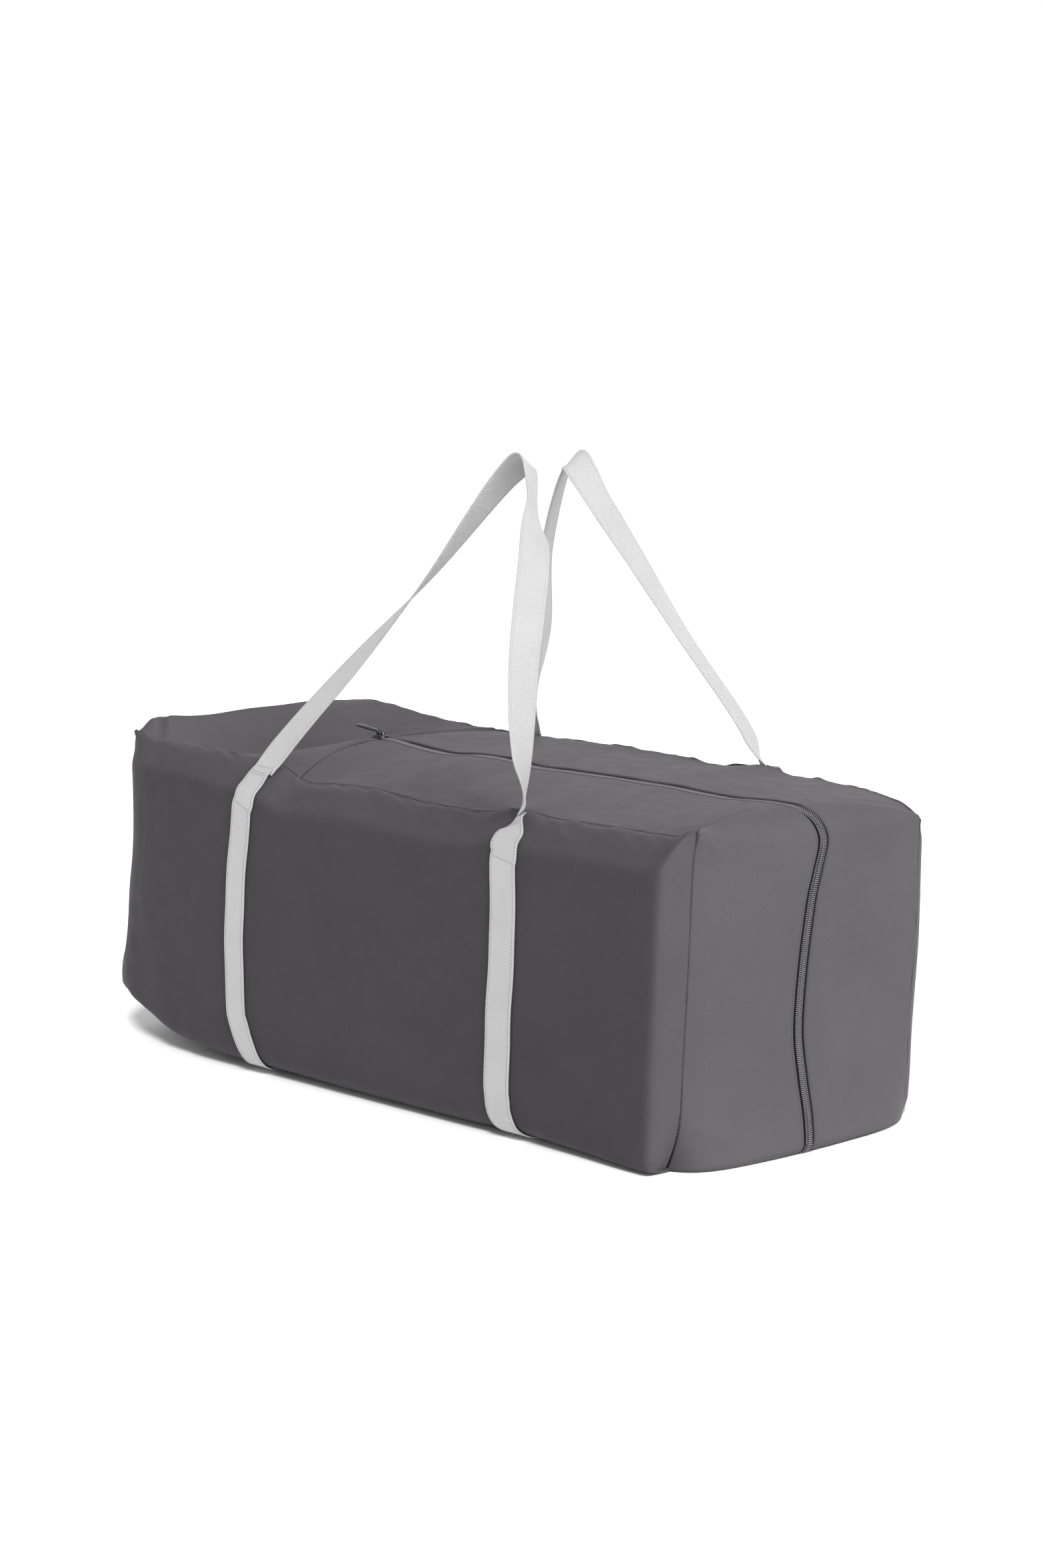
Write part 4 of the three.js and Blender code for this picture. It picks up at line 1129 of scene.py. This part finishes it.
def mesh_wrap():
    """The playpen's mesh sides, wound three times round the folded frame."""
    turns = 3
    loop = rounded_loop(1, 1, 0.11, 6)
    cumulative = np.concatenate([loop] * turns + [loop[:1]])
    share = np.linspace(0, 1, len(cumulative))
    width, height = 238 + 40 * share, 212 + 10 * share
    line = np.column_stack([0 * share, cumulative[:, 0] * width, cumulative[:, 1] * height + 143])
    line, d = even(line, 5.0)
    xs = np.linspace(-286, 314, 76)
    grid = np.stack([line + [x, 0, 0] for x in xs], 1)
    n = normals(grid, out=grid - [0, 0, 143])
    x = grid[..., 0]
    ripple = 1.6 * noise(x / 45, d[:, None] / 30, 3) + 0.8 * noise(x / 16, d[:, None] / 60, 9)
    grid = grid + n * ripple[..., None]
    grid[..., 0] += 3 * noise(d[:, None] / 40, 5 + 0 * x, 1) * (abs(x - 14) / 300) ** 4
    obj = piece("mesh_side_wrap", shell(grid, 1.0, n=n), MESH_CLOTH, stands_for=["mesh_sides"])


mesh_wrap()


def frame_parts():
    """Smooth tubes, axles and wheels in place of the faceted ones; the mouldings are the CAD's own."""
    for node in list(frame["nodes"]):
        low, high = (np.array(c) * 1000 + [CENTRE_X, 0, 0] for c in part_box(node))
        centre = (low + high) / 2
        kind = node.split("_")[0]
        moulded = "lock" in node or "hub" in node
        if kind in ("post", "long", "short", "floor") and not moulded:
            r, half = (high[2] - low[2]) / 2, (high[0] - low[0]) / 2
            profile = [(-half, r - 0.5), (-half + 0.5, r), (half - 0.5, r), (half, r - 0.5), (half, r - 1.2),
                       (-half, r - 1.2)]
            piece(node + "_tube", lathe(profile, centre, 0), TUBE, stands_for=[node])
        elif kind == "axle":
            half = (high[1] - low[1]) / 2
            profile = [(-half, 0.01), (-half, 2.4), (-half + 0.6, 3),
                       (half - 0.6, 3), (half, 2.4), (half, 0.01)]
            piece(node + "_pin", lathe(profile, (-351, centre[1], centre[2]), 1, 28),
                  STEEL, stands_for=[node])
        elif kind == "wheel":
            rim = [(-6.5, 3.3), (-6.5, 6.5), (-4, 7.5), (-3.6, 13), (-6.2, 14.5), (-6.2, 16.4),
                   (-3.8, 18.4), (-1, 18.5), (-0.6, 17.9)]
            profile = rim + [(-along, r) for along, r in rim[::-1]]
            body = "front_wheel" if "front" in node else "back_wheel"
            piece(node + "_tyre", lathe(profile, centre, 1, 40), WHEEL, body, [node])
        elif kind in ("corner", "foot") or moulded:
            frame["nodes"][node].data.materials.clear()
            frame["nodes"][node].data.materials.append(MOULDED)


frame_parts()


# ---- floor, light and camera
def floor_and_light():
    mesh = bpy.data.meshes.new("floor")
    far = 60
    mesh.from_pydata([(-far, -far, 0), (far, -far, 0), (far, far, 0), (-far, far, 0)], [], [(0, 1, 2, 3)])
    floor = add("floor", mesh)
    material = bpy.data.materials.new("floor")
    material.use_nodes = True
    shader = material.node_tree.nodes["Principled BSDF"]
    shader.inputs["Base Color"].default_value = (0.64, 0.64, 0.64, 1)
    shader.inputs["Roughness"].default_value = 0.9
    shader.inputs["Specular IOR Level"].default_value = 0.0
    mesh.materials.append(material)

    world = bpy.data.worlds.new("studio")
    world.use_nodes = True
    world.node_tree.nodes["Background"].inputs[0].default_value = (1, 1, 1, 1)
    world.node_tree.nodes["Background"].inputs[1].default_value = 1.03
    bpy.context.scene.world = world

    def sun(name, source, strength, angle):
        data = bpy.data.lights.new(name, "SUN")
        data.energy = strength
        data.angle = math.radians(angle)
        obj = add(name, data)
        obj.rotation_euler = (-mathutils.Vector(source)).to_track_quat("-Z", "Y").to_euler()
        return obj

    def linked(lamp, objects, state):
        lit = bpy.data.collections.new(lamp.name + "_reach")
        for i, obj in enumerate(objects):
            lit.objects.link(obj)
            lit.collection_objects[i].light_linking.link_state = state
        lamp.light_linking.receiver_collection = lit

    # One lamp whitens the floor only, so that it keeps no more than a tight contact shadow. The key
    # light shapes the dark cloth, and is too strong for the pale floor and webbing.
    pale = [floor] + [obj for obj in bpy.data.objects if "_webbing" in obj.name]
    linked(sun("floor_only", (0.7, -0.67, 0.8), 4.6, 12), [floor], "INCLUDE")
    linked(sun("key", (0.86, -0.05, 0.4), 8.0, 45), pale, "EXCLUDE")
    handles = [obj for obj in pale if "_handle" in obj.name]
    linked(sun("handles", (0.9, 0.15, 0.4), 1.1, 60), handles, "INCLUDE")
    sun("right", (0.8, -0.35, 0.5), 1.6, 60)


floor_and_light()


def camera():
    data = bpy.data.cameras.new("camera")
    data.lens = 95.83
    data.sensor_width = 36
    data.clip_end = 200
    obj = add("camera", data)
    obj.location = (2.762 - CENTRE_X / 1000, -2.604, 0.888)
    aim = mathutils.Vector((-0.7147, 0.6811, -0.1595))
    obj.rotation_euler = aim.to_track_quat("-Z", "Y").to_euler()
    bpy.context.scene.camera = obj
    bpy.context.scene.view_settings.view_transform = "Standard"


camera()
